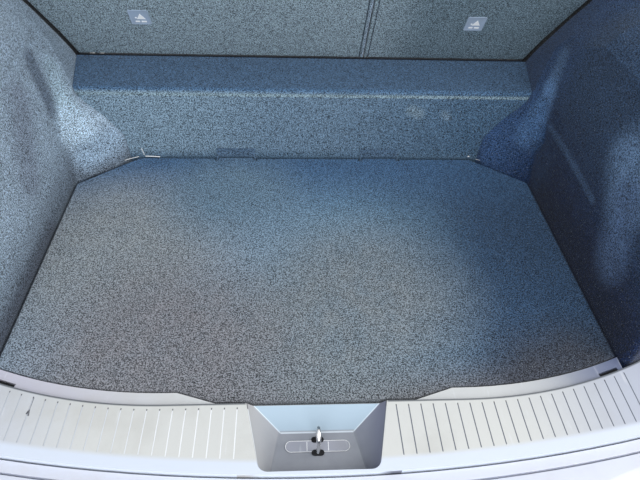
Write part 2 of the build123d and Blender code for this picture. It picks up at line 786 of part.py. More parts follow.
# Hinge flaps: strips on the riser's foot that carry the board's hinge pins
for x, side_name in zip(flap_x, ("left", "right")):
    with BuildPart() as flap:
        with BuildSketch(Plane.YZ.offset(x - flap_width / 2)):
            with BuildLine():
                Polyline(
                    (foot_y - 3, floor_z + 2), (foot_y, floor_z + 2),
                    (foot_y + flap_rise * step_lean / step_rise, floor_z + flap_rise),
                    (foot_y - 3 + flap_rise * step_lean / step_rise, floor_z + flap_rise),
                    close=True,
                )
            make_face()
        extrude(amount=flap_width)
        for end in (-1, 1):
            with BuildSketch(Plane.YZ.offset(x + end * (flap_width / 2 - 2) - 2)):
                with Locations((hinge_y, hinge_z)):
                    Circle(board_thickness / 2 - 1)
                with BuildLine():
                    Polyline(
                        (hinge_y, hinge_z - 6), (foot_y - seat_gap, hinge_z - 2),
                        (foot_y - seat_gap, floor_z + 6), (foot_y - 3, floor_z + 6), (hinge_y, hinge_z + 6),
                        close=True,
                    )
                make_face()
            extrude(amount=4)
        with BuildSketch(Plane.YZ.offset(x - flap_width / 2)):
            with Locations((hinge_y, hinge_z)):
                Circle(hinge_pin_r)
        extrude(amount=flap_width)
    write(flap, f"hinge_flap_{side_name}")

# Seat backs, drawn on the plane of their rear faces
lean = radians(seat_lean)
seat_back_plane = Plane(
    origin=(0, seat_foot_y, step_z), x_dir=(1, 0, 0), z_dir=(0, -cos(lean), -sin(lean))
)


def seat_point(x, up, depth):
    """A place on a seat back: sideways, up its rear face and forward into it."""
    return (
        x,
        seat_foot_y - up * sin(lean) + depth * cos(lean),
        step_z + up * cos(lean) + depth * sin(lean),
    )


# Outer edge of a seat back: how far beyond the board's edge, and up the back
seat_foot = 5.0
seat_edge = [(32, seat_foot), (50, 91), (80, 192), (100, 255), (105, 330), (105, seat_height)]
seat_foot_x = board_half + seat_edge[0][0]
seat_round = 45.0


def seat_face(split_x, side, inset):
    """Outline of one seat back from the split to its outer edge."""
    inner = split_x + side * inset
    outer = [(side * (board_half + beyond - inset), up) for beyond, up in seat_edge]
    outer[0] = (outer[0][0], seat_foot + inset)
    outer[-1] = (outer[-1][0], seat_height - inset)
    with BuildSketch() as face:
        with BuildLine():
            Polyline((inner, seat_foot + inset), *outer, (inner, seat_height - inset), close=True)
        make_face()
        fillet(face.vertices().filter_by(lambda v: v.Y > seat_height - inset - 1), seat_round)
    return face.sketch


headrest_width = 250.0
headrest_height = 150.0
headrest_depth = 95.0
headrest_lift = 22.0
headrest_back = 12.0
headrest_round = 35.0
post_r = 5.0
post_spacing = 120.0
post_depth = 60.0
arm_thick = 6.0
arm_inset = 14.0
arm_corners = ((8, seat_panel), (110, seat_panel), (80, 70), (12, 74))
arm_notch = (100.0, 150.0)
pad_inset = 2.0
pin_r = 8.0
pin_play = 0.1
outer_arm_x = seat_foot_x - arm_inset
seats = [
    # name, side of the outer edge, x at the split, headrests (name, x)
    ("wide", -1, seat_split_x - seat_split_gap / 2, (("left", -455.0), ("centre", -100.0))),
    ("narrow", 1, seat_split_x + seat_split_gap / 2, (("right", 430.0),)),
]
for name, side, split_x, headrests in seats:
    with BuildPart() as panel:
        with BuildSketch(seat_back_plane):
            add(seat_face(split_x, side, 0))
        extrude(amount=-seat_panel)
    write(panel, f"seat_{name}_panel")

    with BuildPart() as pad:
        with BuildSketch(seat_back_plane.offset(-seat_panel - seat_gap)):
            add(seat_face(split_x, side, pad_inset))
            for x in (split_x, side * (outer_arm_x + 2 * arm_inset)):
                with Locations((x, 40)):
                    Rectangle(*arm_notch, mode=Mode.SUBTRACT)
        extrude(amount=-(seat_depth - seat_panel))
    write(pad, f"seat_{name}_pad")

    with BuildPart() as arms:
        for x in (split_x + side * arm_inset, side * outer_arm_x):
            with BuildSketch(Plane.YZ.offset(x - arm_thick / 2)):
                corners = [seat_point(0, up, depth)[1:] for up, depth in arm_corners]
                with BuildLine():
                    Polyline(*corners, close=True)
                make_face()
                with Locations(seat_point(0, pivot_up, pivot_in)[1:]):
                    Circle(pin_r + pin_play, mode=Mode.SUBTRACT)
            extrude(amount=arm_thick)
    write(arms, f"seat_{name}_arms")

    for rest_name, x in headrests:
        with BuildPart() as headrest:
            with BuildSketch(seat_back_plane.offset(-headrest_back)):
                with Locations((x, seat_height + headrest_lift + headrest_height / 2)):
                    RectangleRounded(headrest_width, headrest_height, headrest_round)
            extrude(amount=-headrest_depth)
        write(headrest, f"headrest_{rest_name}")
        with BuildPart() as posts:
            for dx in (-post_spacing / 2, post_spacing / 2):
                foot = seat_point(x + dx, seat_height - pad_inset + seat_gap, post_depth)
                with BuildSketch(Plane(origin=foot, z_dir=(0, -sin(lean), cos(lean)))):
                    Circle(post_r)
                extrude(amount=headrest_lift + pad_inset - 2 * seat_gap)
        write(posts, f"posts_{rest_name}")

# Tether anchor covers on the seat backs
anchor_size = 50.0
anchor_up = 153.0
for name, x in (("left", -424.0), ("right", 437.0)):
    with BuildPart() as cover:
        with BuildSketch(seat_back_plane):
            with Locations((x, anchor_up)):
                RectangleRounded(anchor_size, anchor_size, 4)
        extrude(amount=2)
    write(cover, f"anchor_cover_{name}")

# Seat brackets on the ledge, with the hinge pins
pivot = seat_point(0, pivot_up, pivot_in)
bracket_thick = 5.0
bracket_gap = 8.0
bracket_width = 36.0
bracket_foot = (46.0, 60.0)
bracket_base = 3.0
bracket_x = outer_arm_x + bracket_gap
foot_x = bracket_x - bracket_foot[0] / 2 + bracket_thick
middle_reach = (seat_split_gap + arm_thick + 2) / 2 + arm_inset
brackets = [
    # name, x of the plate, x of the foot, ends of the pin
    ("left", -bracket_x, -foot_x, (-bracket_x, -bracket_x + 12)),
    ("middle", seat_split_x, seat_split_x, (seat_split_x - middle_reach, seat_split_x + middle_reach)),
    ("right", bracket_x, foot_x, (bracket_x - 12, bracket_x)),
]
for name, plate_x, base_x, (pin_start, pin_end) in brackets:
    with BuildPart() as bracket:
        with BuildSketch(Plane.YZ.offset(plate_x - bracket_thick / 2)):
            with Locations((pivot[1], (pivot[2] + ledge_z) / 2)):
                Rectangle(bracket_width, pivot[2] - ledge_z)
            with Locations((pivot[1], pivot[2])):
                Circle(bracket_width / 2)
        extrude(amount=bracket_thick)
        with BuildSketch(Plane.XY.offset(ledge_z)):
            with Locations((base_x, pivot[1] + 5)):
                RectangleRounded(*bracket_foot, 5)
        extrude(amount=bracket_base)
        with BuildSketch(Plane.YZ.offset(pin_start)):
            with Locations((pivot[1], pivot[2])):
                Circle(pin_r)
        extrude(amount=pin_end - pin_start)
    write(bracket, f"seat_bracket_{name}")
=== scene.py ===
import json
from math import asin, atan2, cos, exp, hypot, pi, radians, sin

import bpy
from mathutils import Matrix, Vector


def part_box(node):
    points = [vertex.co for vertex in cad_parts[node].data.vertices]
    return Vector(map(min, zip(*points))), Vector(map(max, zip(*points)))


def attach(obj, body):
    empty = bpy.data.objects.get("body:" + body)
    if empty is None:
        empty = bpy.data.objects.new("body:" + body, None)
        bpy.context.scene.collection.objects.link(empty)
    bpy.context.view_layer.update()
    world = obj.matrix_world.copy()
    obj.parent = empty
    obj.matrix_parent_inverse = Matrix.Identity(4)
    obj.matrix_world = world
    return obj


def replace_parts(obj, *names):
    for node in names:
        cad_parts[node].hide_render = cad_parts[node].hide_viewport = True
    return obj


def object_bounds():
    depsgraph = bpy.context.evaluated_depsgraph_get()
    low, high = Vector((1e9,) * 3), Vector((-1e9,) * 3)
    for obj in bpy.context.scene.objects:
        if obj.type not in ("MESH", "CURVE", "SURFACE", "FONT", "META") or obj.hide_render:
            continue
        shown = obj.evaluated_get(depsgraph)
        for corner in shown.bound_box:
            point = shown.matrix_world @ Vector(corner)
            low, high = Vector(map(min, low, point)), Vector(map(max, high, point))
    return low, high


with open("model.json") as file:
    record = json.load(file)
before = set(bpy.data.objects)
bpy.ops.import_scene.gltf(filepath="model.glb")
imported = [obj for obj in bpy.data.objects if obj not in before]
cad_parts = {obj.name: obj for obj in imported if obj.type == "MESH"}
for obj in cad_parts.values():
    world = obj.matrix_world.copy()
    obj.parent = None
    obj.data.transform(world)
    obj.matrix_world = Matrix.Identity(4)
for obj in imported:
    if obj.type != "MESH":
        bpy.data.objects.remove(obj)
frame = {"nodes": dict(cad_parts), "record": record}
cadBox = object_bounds()
nodes = frame["nodes"]
record = frame["record"]
bodyOfNode = {n: body for body, names in record["behaviour"]["bodies"].items() for n in names}
slotOfNode = {row["node"]: row["material_slot"] for row in record["subparts"]}
print("frame loaded,", len(nodes), "nodes")

# The camera stands behind the open tailgate and looks down into the load space
camera = {"place": (-0.0486, -0.8359, 1.0620), "yaw": 4.515, "pitch": 44.263, "roll": -2.963, "lens": 30.375}


def placeCamera(c):
    yaw, pitch, roll = (radians(c[k]) for k in ("yaw", "pitch", "roll"))
    ahead = Vector((sin(yaw) * cos(pitch), cos(yaw) * cos(pitch), -sin(pitch)))
    right = Vector((cos(yaw), -sin(yaw), 0))
    down = ahead.cross(right)
    turnedRight = cos(roll) * right + sin(roll) * down
    turnedDown = -sin(roll) * right + cos(roll) * down
    data = bpy.data.cameras.new("camera")
    data.lens = c["lens"]
    obj = bpy.data.objects.new("camera", data)
    bpy.context.scene.collection.objects.link(obj)
    turn = Matrix((turnedRight, -turnedDown, -ahead)).transposed().to_4x4()
    turn.translation = Vector(c["place"])
    obj.matrix_world = turn
    bpy.context.scene.camera = obj


placeCamera(camera)

# Open sky behind the car, daylight from its right, low light on the seat backs, and a fill ahead of them
lamps = {
    # name: place, aim, size, power, colour
    "sky": ((-0.3, -1.9, 2.9), (0.0, 0.1, 0.2), 2.2, 60, (0.93, 0.97, 1.0)),
    "right": ((2.1, -0.7, 2.3), (-0.3, 0.1, 0.2), 2.2, 48, (1.0, 0.98, 0.95)),
    "low": ((-0.1, -2.5, 0.6), (0.0, 0.5, 0.5), 2.0, 42, (0.94, 0.97, 1.0)),
    "front": ((-1.2, 2.8, 1.5), (0.0, 0.7, 0.6), 1.6, 34, (1.0, 0.99, 0.97)),
}
for name, (place, aim, size, power, colour) in lamps.items():
    data = bpy.data.lights.new(name, "AREA")
    data.size = size
    data.energy = power
    data.color = colour
    obj = bpy.data.objects.new(name, data)
    bpy.context.scene.collection.objects.link(obj)
    obj.location = place
    obj.rotation_euler = (Vector(aim) - Vector(place)).to_track_quat("-Z", "Y").to_euler()
bpy.context.scene.view_settings.view_transform = "Standard"
print("camera and lamps ready")

# Seat backs lean rearward. A place on them is across, forward into the back, and up it.
stepLow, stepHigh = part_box("step_riser")
seat = {"lean": radians(28), "footY": stepHigh[1] + 0.005, "footZ": stepHigh[2], "panel": 0.010}
onSeat = Matrix.Translation((0, seat["footY"], seat["footZ"])) @ Matrix.Rotation(seat["lean"], 4, "X")
onSeatFace = onSeat @ Matrix.Rotation(pi / 2, 4, "X")


# Shader maths: a socket that can be added, multiplied and so on
class Value:
    def __init__(self, finish, socket):
        self.finish = finish
        self.socket = socket

    def __add__(self, other):
        return self.finish.maths("ADD", self, other)

    def __radd__(self, other):
        return self.finish.maths("ADD", other, self)

    def __sub__(self, other):
        return self.finish.maths("SUBTRACT", self, other)

    def __rsub__(self, other):
        return self.finish.maths("SUBTRACT", other, self)

    def __mul__(self, other):
        return self.finish.maths("MULTIPLY", self, other)

    def __rmul__(self, other):
        return self.finish.maths("MULTIPLY", other, self)

    def __truediv__(self, other):
        return self.finish.maths("DIVIDE", self, other)

    def __rtruediv__(self, other):
        return self.finish.maths("DIVIDE", other, self)

    def __abs__(self):
        return self.finish.maths("ABSOLUTE", self)


class Finish:
    def __init__(self, name):
        self.material = bpy.data.materials.new(name)
        self.material.use_nodes = True
        self.tree = self.material.node_tree
        self.shader = self.tree.nodes["Principled BSDF"]
        self.place = self.node("ShaderNodeTexCoord", {}, {}, "Object")
        parts = self.node("ShaderNodeSeparateXYZ", {}, {"Vector": self.place})
        self.x, self.y, self.z = (Value(self, parts.outputs[k]) for k in "XYZ")

    def node(self, kind, settings, values, out=None):
        made = self.tree.nodes.new(kind)
        for key, value in settings.items():
            setattr(made, key, value)
        for key, value in values.items():
            self.put(made.inputs[key], value)
        return made if out is None else Value(self, made.outputs[out])

    def put(self, socket, value):
        if isinstance(value, Value):
            self.tree.links.new(value.socket, socket)
        elif isinstance(value, tuple) and len(value) == 3 and socket.type == "RGBA":
            socket.default_value = (*value, 1)
        else:
            socket.default_value = value

    def maths(self, operation, a, b=None):
        values = {0: a} if b is None else {0: a, 1: b}
        return self.node("ShaderNodeMath", {"operation": operation}, values, 0)

    def mix(self, factor, a, b, how="MIX"):
        made = self.node("ShaderNodeMix", {"data_type": "RGBA", "blend_type": how}, {})
        self.put(made.inputs[0], factor)
        self.put(made.inputs[6], a)
        self.put(made.inputs[7], b)
        return Value(self, made.outputs[2])

    def stretch(self, scale, turn=(0, 0, 0)):
        values = {"Vector": self.place, "Rotation": turn, "Scale": scale}
        return self.node("ShaderNodeMapping", {"vector_type": "POINT"}, values, 0)

    def noise(self, scale, detail=2.0, rough=0.5, at=None):
        values = {"Vector": at or self.place, "Scale": scale, "Detail": detail, "Roughness": rough}
        return self.node("ShaderNodeTexNoise", {}, values, 0)

    def step(self, value, low, high, lowOut=0.0, highOut=1.0):
        values = {0: value, 1: low, 2: high, 3: lowOut, 4: highOut}
        return self.node("ShaderNodeMapRange", {"interpolation_type": "SMOOTHSTEP"}, values, 0)

    def near(self, start, end, reach, blur):  # 1 along a straight line, 0 away from it
        run = Vector(end) - Vector(start)
        off = [axis - at for axis, at in zip((self.x, self.y, self.z), start)]
        if run.length > 0:
            along = (off[0] * run[0] + off[1] * run[1] + off[2] * run[2]) / run.length_squared
            along = self.maths("MINIMUM", self.maths("MAXIMUM", along, 0.0), 1.0)
            off = [o - along * r for o, r in zip(off, run)]
        away = self.maths("SQRT", off[0] * off[0] + off[1] * off[1] + off[2] * off[2])
        return 1 - self.step(away, reach, reach + blur)

    def bump(self, height, strength, distance):
        values = {"Height": height, "Strength": strength, "Distance": distance}
        self.set("Normal", self.node("ShaderNodeBump", {}, values, "Normal"))

    def set(self, name, value):
        self.put(self.shader.inputs[name], value)


def paint(r, g, b):  # a colour as it is read off a screen, made linear
    return tuple((v / 255 / 12.92) if v < 10.3 else (((v / 255) + 0.055) / 1.055) ** 2.4 for v in (r, g, b))


# Needle felt: salt and pepper fibres in clumps. Its tints, marks and bands by place are mostly painted light
# and shade, as each finish below says.
feltLook = {
    "colour": (128, 139, 158), "pale": (227, 237, 246), "paleShare": 0.45, "paleFrom": (0.66, 0.72),
    "clump": 385.0, "fibre": 3.1, "strand": (0.6, 2.2, 1.0), "strandTurn": (0.3, 0.2, 0.8), "paleClump": 1.4,
    "speckFrom": (0.39, 0.61), "grainFrom": (0.34, 0.68), "deep": 0.04, "speckle": 1.44, "grainy": 0.3,
    "mottle": 26.0, "cloudy": 0.25, "cloud": 2.2, "wander": 0.3, "bandBlur": 1.6,
    "rough": 0.92, "smoother": 0.1, "shine": 0.15, "sheen": 0.1, "sheenRough": 0.45,
    "bump": 0.7, "height": 0.0013,
}


def felt(name, s):
    f = Finish(name)
    depth = (f.y - seat["footY"]) * cos(seat["lean"]) + (f.z - seat["footZ"]) * sin(seat["lean"])
    axes = {"x": f.x, "y": f.y, "z": f.z, "depth": depth}
    clump = f.noise(s["clump"], 3.0, 0.7)
    fibre = f.noise(s["clump"] * s["fibre"], 2.0, 0.7)
    strandScale = tuple(s["clump"] * k for k in s["strand"])
    strand = f.noise(1.0, 3.0, 0.7, f.stretch(strandScale, s["strandTurn"]))
    mottle = f.noise(s["mottle"], 3.0, 0.55)
    cloud = f.noise(s["cloud"], 2.0, 0.5)
    colour = paint(*s["colour"])
    for axis, begin, end, tint in s.get("tints", []):
        drift = s["wander"] * (end - begin) * (cloud - 0.5)
        colour = f.mix(f.step(axes[axis] + drift, begin, end), colour, paint(*tint))
    for start, end, reach, blur, tint in s.get("marks", []):
        colour = f.mix(f.near(start, end, reach, blur) * (0.6 + 0.6 * mottle), colour, paint(*tint))
    for axis, middle, half, tint in s.get("bands", []):
        away = abs(axes[axis] - middle)
        colour = f.mix(1 - f.step(away, half, half * s["bandBlur"]), colour, paint(*tint))
    speck = f.step(clump, *s["speckFrom"])
    grain = f.step(strand, *s["grainFrom"])
    shade = s["deep"] + s["speckle"] * speck + s["grainy"] * (grain + fibre - 0.5)
    shade = shade + s["cloudy"] * (mottle - 0.5)
    grey = f.node("ShaderNodeCombineXYZ", {}, {0: shade, 1: shade, 2: shade}, 0)
    colour = f.mix(1.0, colour, grey, "MULTIPLY")
    pale = f.step(f.noise(s["clump"] * s["paleClump"], 2.0, 0.6), *s["paleFrom"])
    colour = f.mix(pale * s["paleShare"], colour, paint(*s["pale"]))
    f.set("Base Color", colour)
    f.set("Roughness", s["rough"] - s["smoother"] * fibre)
    f.set("Specular IOR Level", s["shine"])
    f.set("Sheen Weight", s["sheen"])
    f.set("Sheen Roughness", s["sheenRough"])
    f.bump(clump * 0.7 + fibre * 0.3 + grain * 0.3, s["bump"], s["height"])
    return f.material


# Grained plastic: fine grain, scuffs and settled dust. Its tints from left to right paint shade, darker
# towards the right.
plasticLook = {
    "dustSize": 9.0, "dustFrom": (0.45, 0.75), "gritSize": 420.0, "gritFrom": (0.6, 0.7), "gritty": 0.12,
    "rubSize": (60.0, 9.0, 40.0), "rubTurn": (0, 0, 0.5), "rubFrom": (0.62, 0.72),
    "wander": 0.1, "shine": 0.4, "height": 0.0004,
}


def grainedPlastic(name, look):
    s = {**plasticLook, **look}
    f = Finish(name)
    grain = f.node("ShaderNodeTexVoronoi", {"feature": "F1"}, {"Vector": f.place, "Scale": s["grain"]}, 0)
    dust = f.noise(s["dustSize"], 4.0, 0.6)
    grit = f.step(f.noise(s["gritSize"], 3.0, 0.7), *s["gritFrom"])
    rub = f.step(f.noise(1.0, 3.0, 0.6, f.stretch(s["rubSize"], s["rubTurn"])), *s["rubFrom"])
    colour = paint(*s["colour"])
    for begin, end, tint in s.get("tints", []):
        colour = f.mix(f.step(f.x + s["wander"] * (dust - 0.5), begin, end), colour, paint(*tint))
    colour = f.mix(f.step(dust, *s["dustFrom"]) * s["dusty"], colour, paint(*s["dust"]))
    colour = f.mix(rub * s["rubbed"], colour, paint(*s["rub"]))
    colour = f.mix(grit * s["gritty"], colour, paint(*s["dust"]))
    if "plate" in s:
        colour = plateMarks(f, colour, s["plate"])
    f.set("Base Color", colour)
    f.set("Roughness", s["rough"] + 0.12 * (dust - 0.5) + 0.1 * rub)
    f.set("Specular IOR Level", s["shine"])
    f.bump(grain * 0.6 + 0.4 * f.noise(s["grain"] * 0.6, 3.0), s["bump"], s["height"])
    return f.material


# The scuff plate's marks: painted shade and highlights in its seam, grooves and latch well, a lighter rear
# band, dust and one gouge. Pairs are where a mark starts to show and where it is full.
plate = {
    "top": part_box("scuff_plate")[1][2], "floor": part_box("slot_cover")[0][2],
    "straight": 0.27, "sill": -0.346, "radius": 0.945,  # front edge: straight, then an arc to each side
    "seamEdge": (-0.0042, -0.0016), "seamSide": (0.125, 0.130), "seamShare": 0.9, "seam": (81, 86, 93),
    "bow": 3.1, "rearBand": -0.453, "rearBlur": 0.006, "rearTint": (212, 219, 232),
    "grooveDeep": (0.0003, 0.0007), "grooveFar": (193, 197, 204), "grooveLeft": (241, 242, 244),
    "grooveRight": (114, 118, 130), "leftTurn": (-0.5, -0.2), "rightTurn": (-0.1, 0.1),
    "tipEdge": (-0.012, -0.010), "tip": (97, 97, 102),
    "wellDeep": (0.0012, 0.0025), "wellRear": (-0.4735, -0.4725), "wellSide": (0.136, 0.135),
    "wellTurn": (-0.02, 0.02), "wellLeft": (186, 186, 188), "wellRight": (123, 125, 142),
    "wellFront": (161, 180, 195), "wellFloor": (151, 154, 161), "wellDirtAndShade": (125, 128, 137), "dirtSize": 30.0,
    "dirtAndShadeBelow": 0.005, "dirtAndShadeAbove": 0.004, "dirtAndShadeShare": 0.7, "floorAbove": (0.0035, 0.0012),
    "floorFront": -0.382, "floorHalf": 0.066, "splay": 1.32, "frontBlur": 0.001, "borderBlur": 0.0008,
    "wellEdgeHighlight": (227, 237, 246), "ridgeBlur": (0.0006, 0.0026), "ridgeShare": 0.6,
    "footBlur": (0.0004, 0.0020), "footSide": (0.067, 0.065),
    "gougeBlur": 0.0006,
    "gouge": [  # start, end, reach
        ((-0.5010, -0.3279), (-0.5013, -0.3509), 0.0007), ((-0.5013, -0.3509), (-0.5036, -0.3574), 0.0012),
        ((-0.5013, -0.3509), (-0.4995, -0.3610), 0.0010),
    ],
}


def plateMarks(f, colour, p):  # painted shade and highlights in the seam, grooves and latch well, a lighter rear band, dust and a gouge
    side = abs(f.x)
    below = p["top"] - f.z
    run = f.maths("MAXIMUM", side - p["straight"], 0.0)
    edge = p["sill"] + p["radius"] - f.maths("SQRT", p["radius"] ** 2 - run * run)
    band = f.y - f.x * f.x / (2 * p["bow"])
    rear = f.step(band, p["rearBand"] + p["rearBlur"], p["rearBand"] - p["rearBlur"])
    colour = f.mix(rear, colour, paint(*p["rearTint"]))
    # Painted shade: a dark line in the seam where the plate's front edge meets the sill strip
    seam = f.step(f.y - edge, *p["seamEdge"]) * f.step(side, *p["seamSide"])
    colour = f.mix(seam * p["seamShare"], colour, paint(*p["seam"]))
    # Painted light in the grooves: highlights on the left, shade on the right, darker at their front ends
    deep = f.step(below, *p["grooveDeep"]) * (1 - rear)
    groove = f.mix(f.step(f.x, *p["leftTurn"]), paint(*p["grooveFar"]), paint(*p["grooveLeft"]))
    groove = f.mix(f.step(f.x, *p["rightTurn"]), groove, paint(*p["grooveRight"]))
    colour = f.mix(deep, colour, groove)
    colour = f.mix(deep * f.step(f.y - edge, *p["tipEdge"]), colour, paint(*p["tip"]))
    # Painted light in the latch well: its left wall lit, its right wall shaded, its front wall lighter
    inWell = f.step(below, *p["wellDeep"]) * f.step(f.y, *p["wellRear"]) * f.step(side, *p["wellSide"])
    well = f.mix(f.step(f.x, *p["wellTurn"]), paint(*p["wellLeft"]), paint(*p["wellRight"]))
    # The well's floor and the feet of its walls are darker: partly dust, partly painted shade in the recess
    floorDirtAndShade = f.mix(f.noise(p["dirtSize"], 4.0), paint(*p["wellFloor"]), paint(*p["wellDirtAndShade"]))
    low = f.step(f.z, p["top"] - p["dirtAndShadeBelow"], p["floor"] + p["dirtAndShadeAbove"])
    well = f.mix(low * p["dirtAndShadeShare"], well, floorDirtAndShade)
    border = p["floorHalf"] + (f.y - p["floorFront"]) * p["splay"] - side
    ahead = f.step(f.y, p["floorFront"] - p["frontBlur"], p["floorFront"] + p["frontBlur"])
    front = f.step(border, -p["borderBlur"], p["borderBlur"]) * ahead
    well = f.mix(front, well, paint(*p["wellFront"]))
    well = f.mix(f.step(f.z - p["floor"], *p["floorAbove"]), well, floorDirtAndShade)
    # Painted highlights on the well's rounded edges and along the foot of its front wall
    ridge = (1 - f.step(abs(border), *p["ridgeBlur"])) * ahead
    foot = (1 - f.step(abs(f.y - p["floorFront"]), *p["footBlur"])) * f.step(side, *p["footSide"])
    well = f.mix(f.maths("MAXIMUM", ridge, foot) * p["ridgeShare"], well, paint(*p["wellEdgeHighlight"]))
    colour = f.mix(inWell, colour, well)
    for start, end, reach in p["gouge"]:
        cut = f.near((*start, p["top"]), (*end, p["top"]), reach, p["gougeBlur"])
        colour = f.mix(cut, colour, paint(*p["tip"]))
    return colour


# Painted metal: faint orange peel, dust, and wear where it is handled
metalLook = {
    "dustSize": 7.0, "dustFrom": (0.42, 0.72), "dullFrom": (0.45, 0.8), "chipSize": 55.0, "chipBlur": 0.03,
    "chipShare": 0.7, "coatRough": 0.08, "bump": 0.25, "height": 0.0003,
}


def paintedMetal(name, look):
    s = {**metalLook, **look}
    f = Finish(name)
    peel = f.noise(s["peel"], 1.0)
    dust = f.noise(s["dustSize"], 5.0, 0.65)
    chips = f.step(f.noise(s["chipSize"], 5.0, 0.8), s["chipFrom"], s["chipFrom"] + s["chipBlur"])
    colour = f.mix(f.step(dust, *s["dustFrom"]) * s["dusty"], paint(*s["colour"]), paint(*s["dust"]))
    colour = f.mix(chips * s["chipShare"], colour, paint(*s["chip"]))
    f.set("Base Color", colour)
    f.set("Roughness", s["rough"] + 0.25 * f.step(dust, *s["dullFrom"]) + 0.2 * chips)
    f.set("Metallic", 0.0)
    f.set("Coat Weight", s["coat"] - 0.5 * s["coat"] * chips)
    f.set("Coat Roughness", s["coatRough"])
    f.bump(peel * 0.5 - 0.8 * chips, s["bump"], s["height"])
    return f.material


def polishedSteel(name, s):  # wiped along its length, a little worn
    f = Finish(name)
    wipe = f.noise(1.0, 3.0, 0.6, f.stretch(s["wipeSize"]))
    rub = f.noise(s["rubSize"], 3.0)
    f.set("Base Color", f.mix(f.step(rub, *s["rubFrom"]), paint(*s["colour"]), paint(*s["worn"])))
    f.set("Metallic", 1.0)
    f.set("Roughness", s["rough"] + s["wiped"] * wipe)
    f.bump(wipe, s["bump"], s["height"])
    return f.material


def wovenCloth(name, s):  # plain weave laid over the leaning seat back
    f = Finish(name)
    flat = f.stretch((1, 1, 1), (-seat["lean"], 0, 0))
    parts = f.node("ShaderNodeSeparateXYZ", {}, {"Vector": flat})
    across = Value(f, parts.outputs["X"])
    up = Value(f, parts.outputs["Z"])
    weave = f.maths("SINE", across * s["thread"]) * f.maths("SINE", up * s["thread"])
    fuzz = f.noise(s["fuzzSize"], 3.0, 0.7)
    mottle = f.noise(s["mottleSize"], 3.0)
    colour = f.mix(f.step(weave, -0.6, 0.6), paint(*s["dark"]), paint(*s["light"]))
    colour = f.mix(f.step(mottle, *s["wornFrom"]) * s["wornShare"], colour, paint(*s["worn"]))
    colour = f.mix(fuzz * s["fuzzy"], colour, paint(*s["dark"]))
    f.set("Base Color", colour)
    f.set("Roughness", s["rough"] - 0.1 * fuzz)
    f.set("Specular IOR Level", s["shine"])
    f.set("Sheen Weight", s["sheen"])
    f.bump(weave * 0.6 + fuzz * 0.3, s["bump"], s["height"])
    return f.material


def mouldedFoam(name, s):  # beads pressed together, with shallow pits
    f = Finish(name)
    values = {"Vector": f.place, "Scale": s["beads"]}
    beads = f.node("ShaderNodeTexVoronoi", {"feature": "DISTANCE_TO_EDGE"}, values, 0)
    pits = f.noise(s["pits"], 3.0, 0.7)
    dust = f.step(f.noise(s["dustSize"], 4.0), *s["dustFrom"])
    colour = f.mix(f.step(beads, 0.0, s["seamWide"]), paint(*s["seam"]), paint(*s["colour"]))
    colour = f.mix(dust * s["dusty"], colour, paint(*s["dust"]))
    f.set("Base Color", colour)
    f.set("Roughness", s["rough"] + 0.15 * pits)
    f.bump(f.step(beads, 0.0, s["seamDeep"]) * 0.6 + pits * 0.3, s["bump"], s["height"])
    return f.material


def rubber(name, s):  # dull, with road dust
    f = Finish(name)
    fine = f.noise(s["fine"], 3.0, 0.7)
    dust = f.noise(s["dustSize"], 4.0, 0.6)
    colour = f.mix(f.step(dust, *s["dustFrom"]) * s["dusty"], paint(*s["colour"]), paint(*s["dust"]))
    f.set("Base Color", colour)
    f.set("Roughness", s["rough"] + 0.2 * dust)
    f.bump(fine, s["bump"], s["height"])
    return f.material


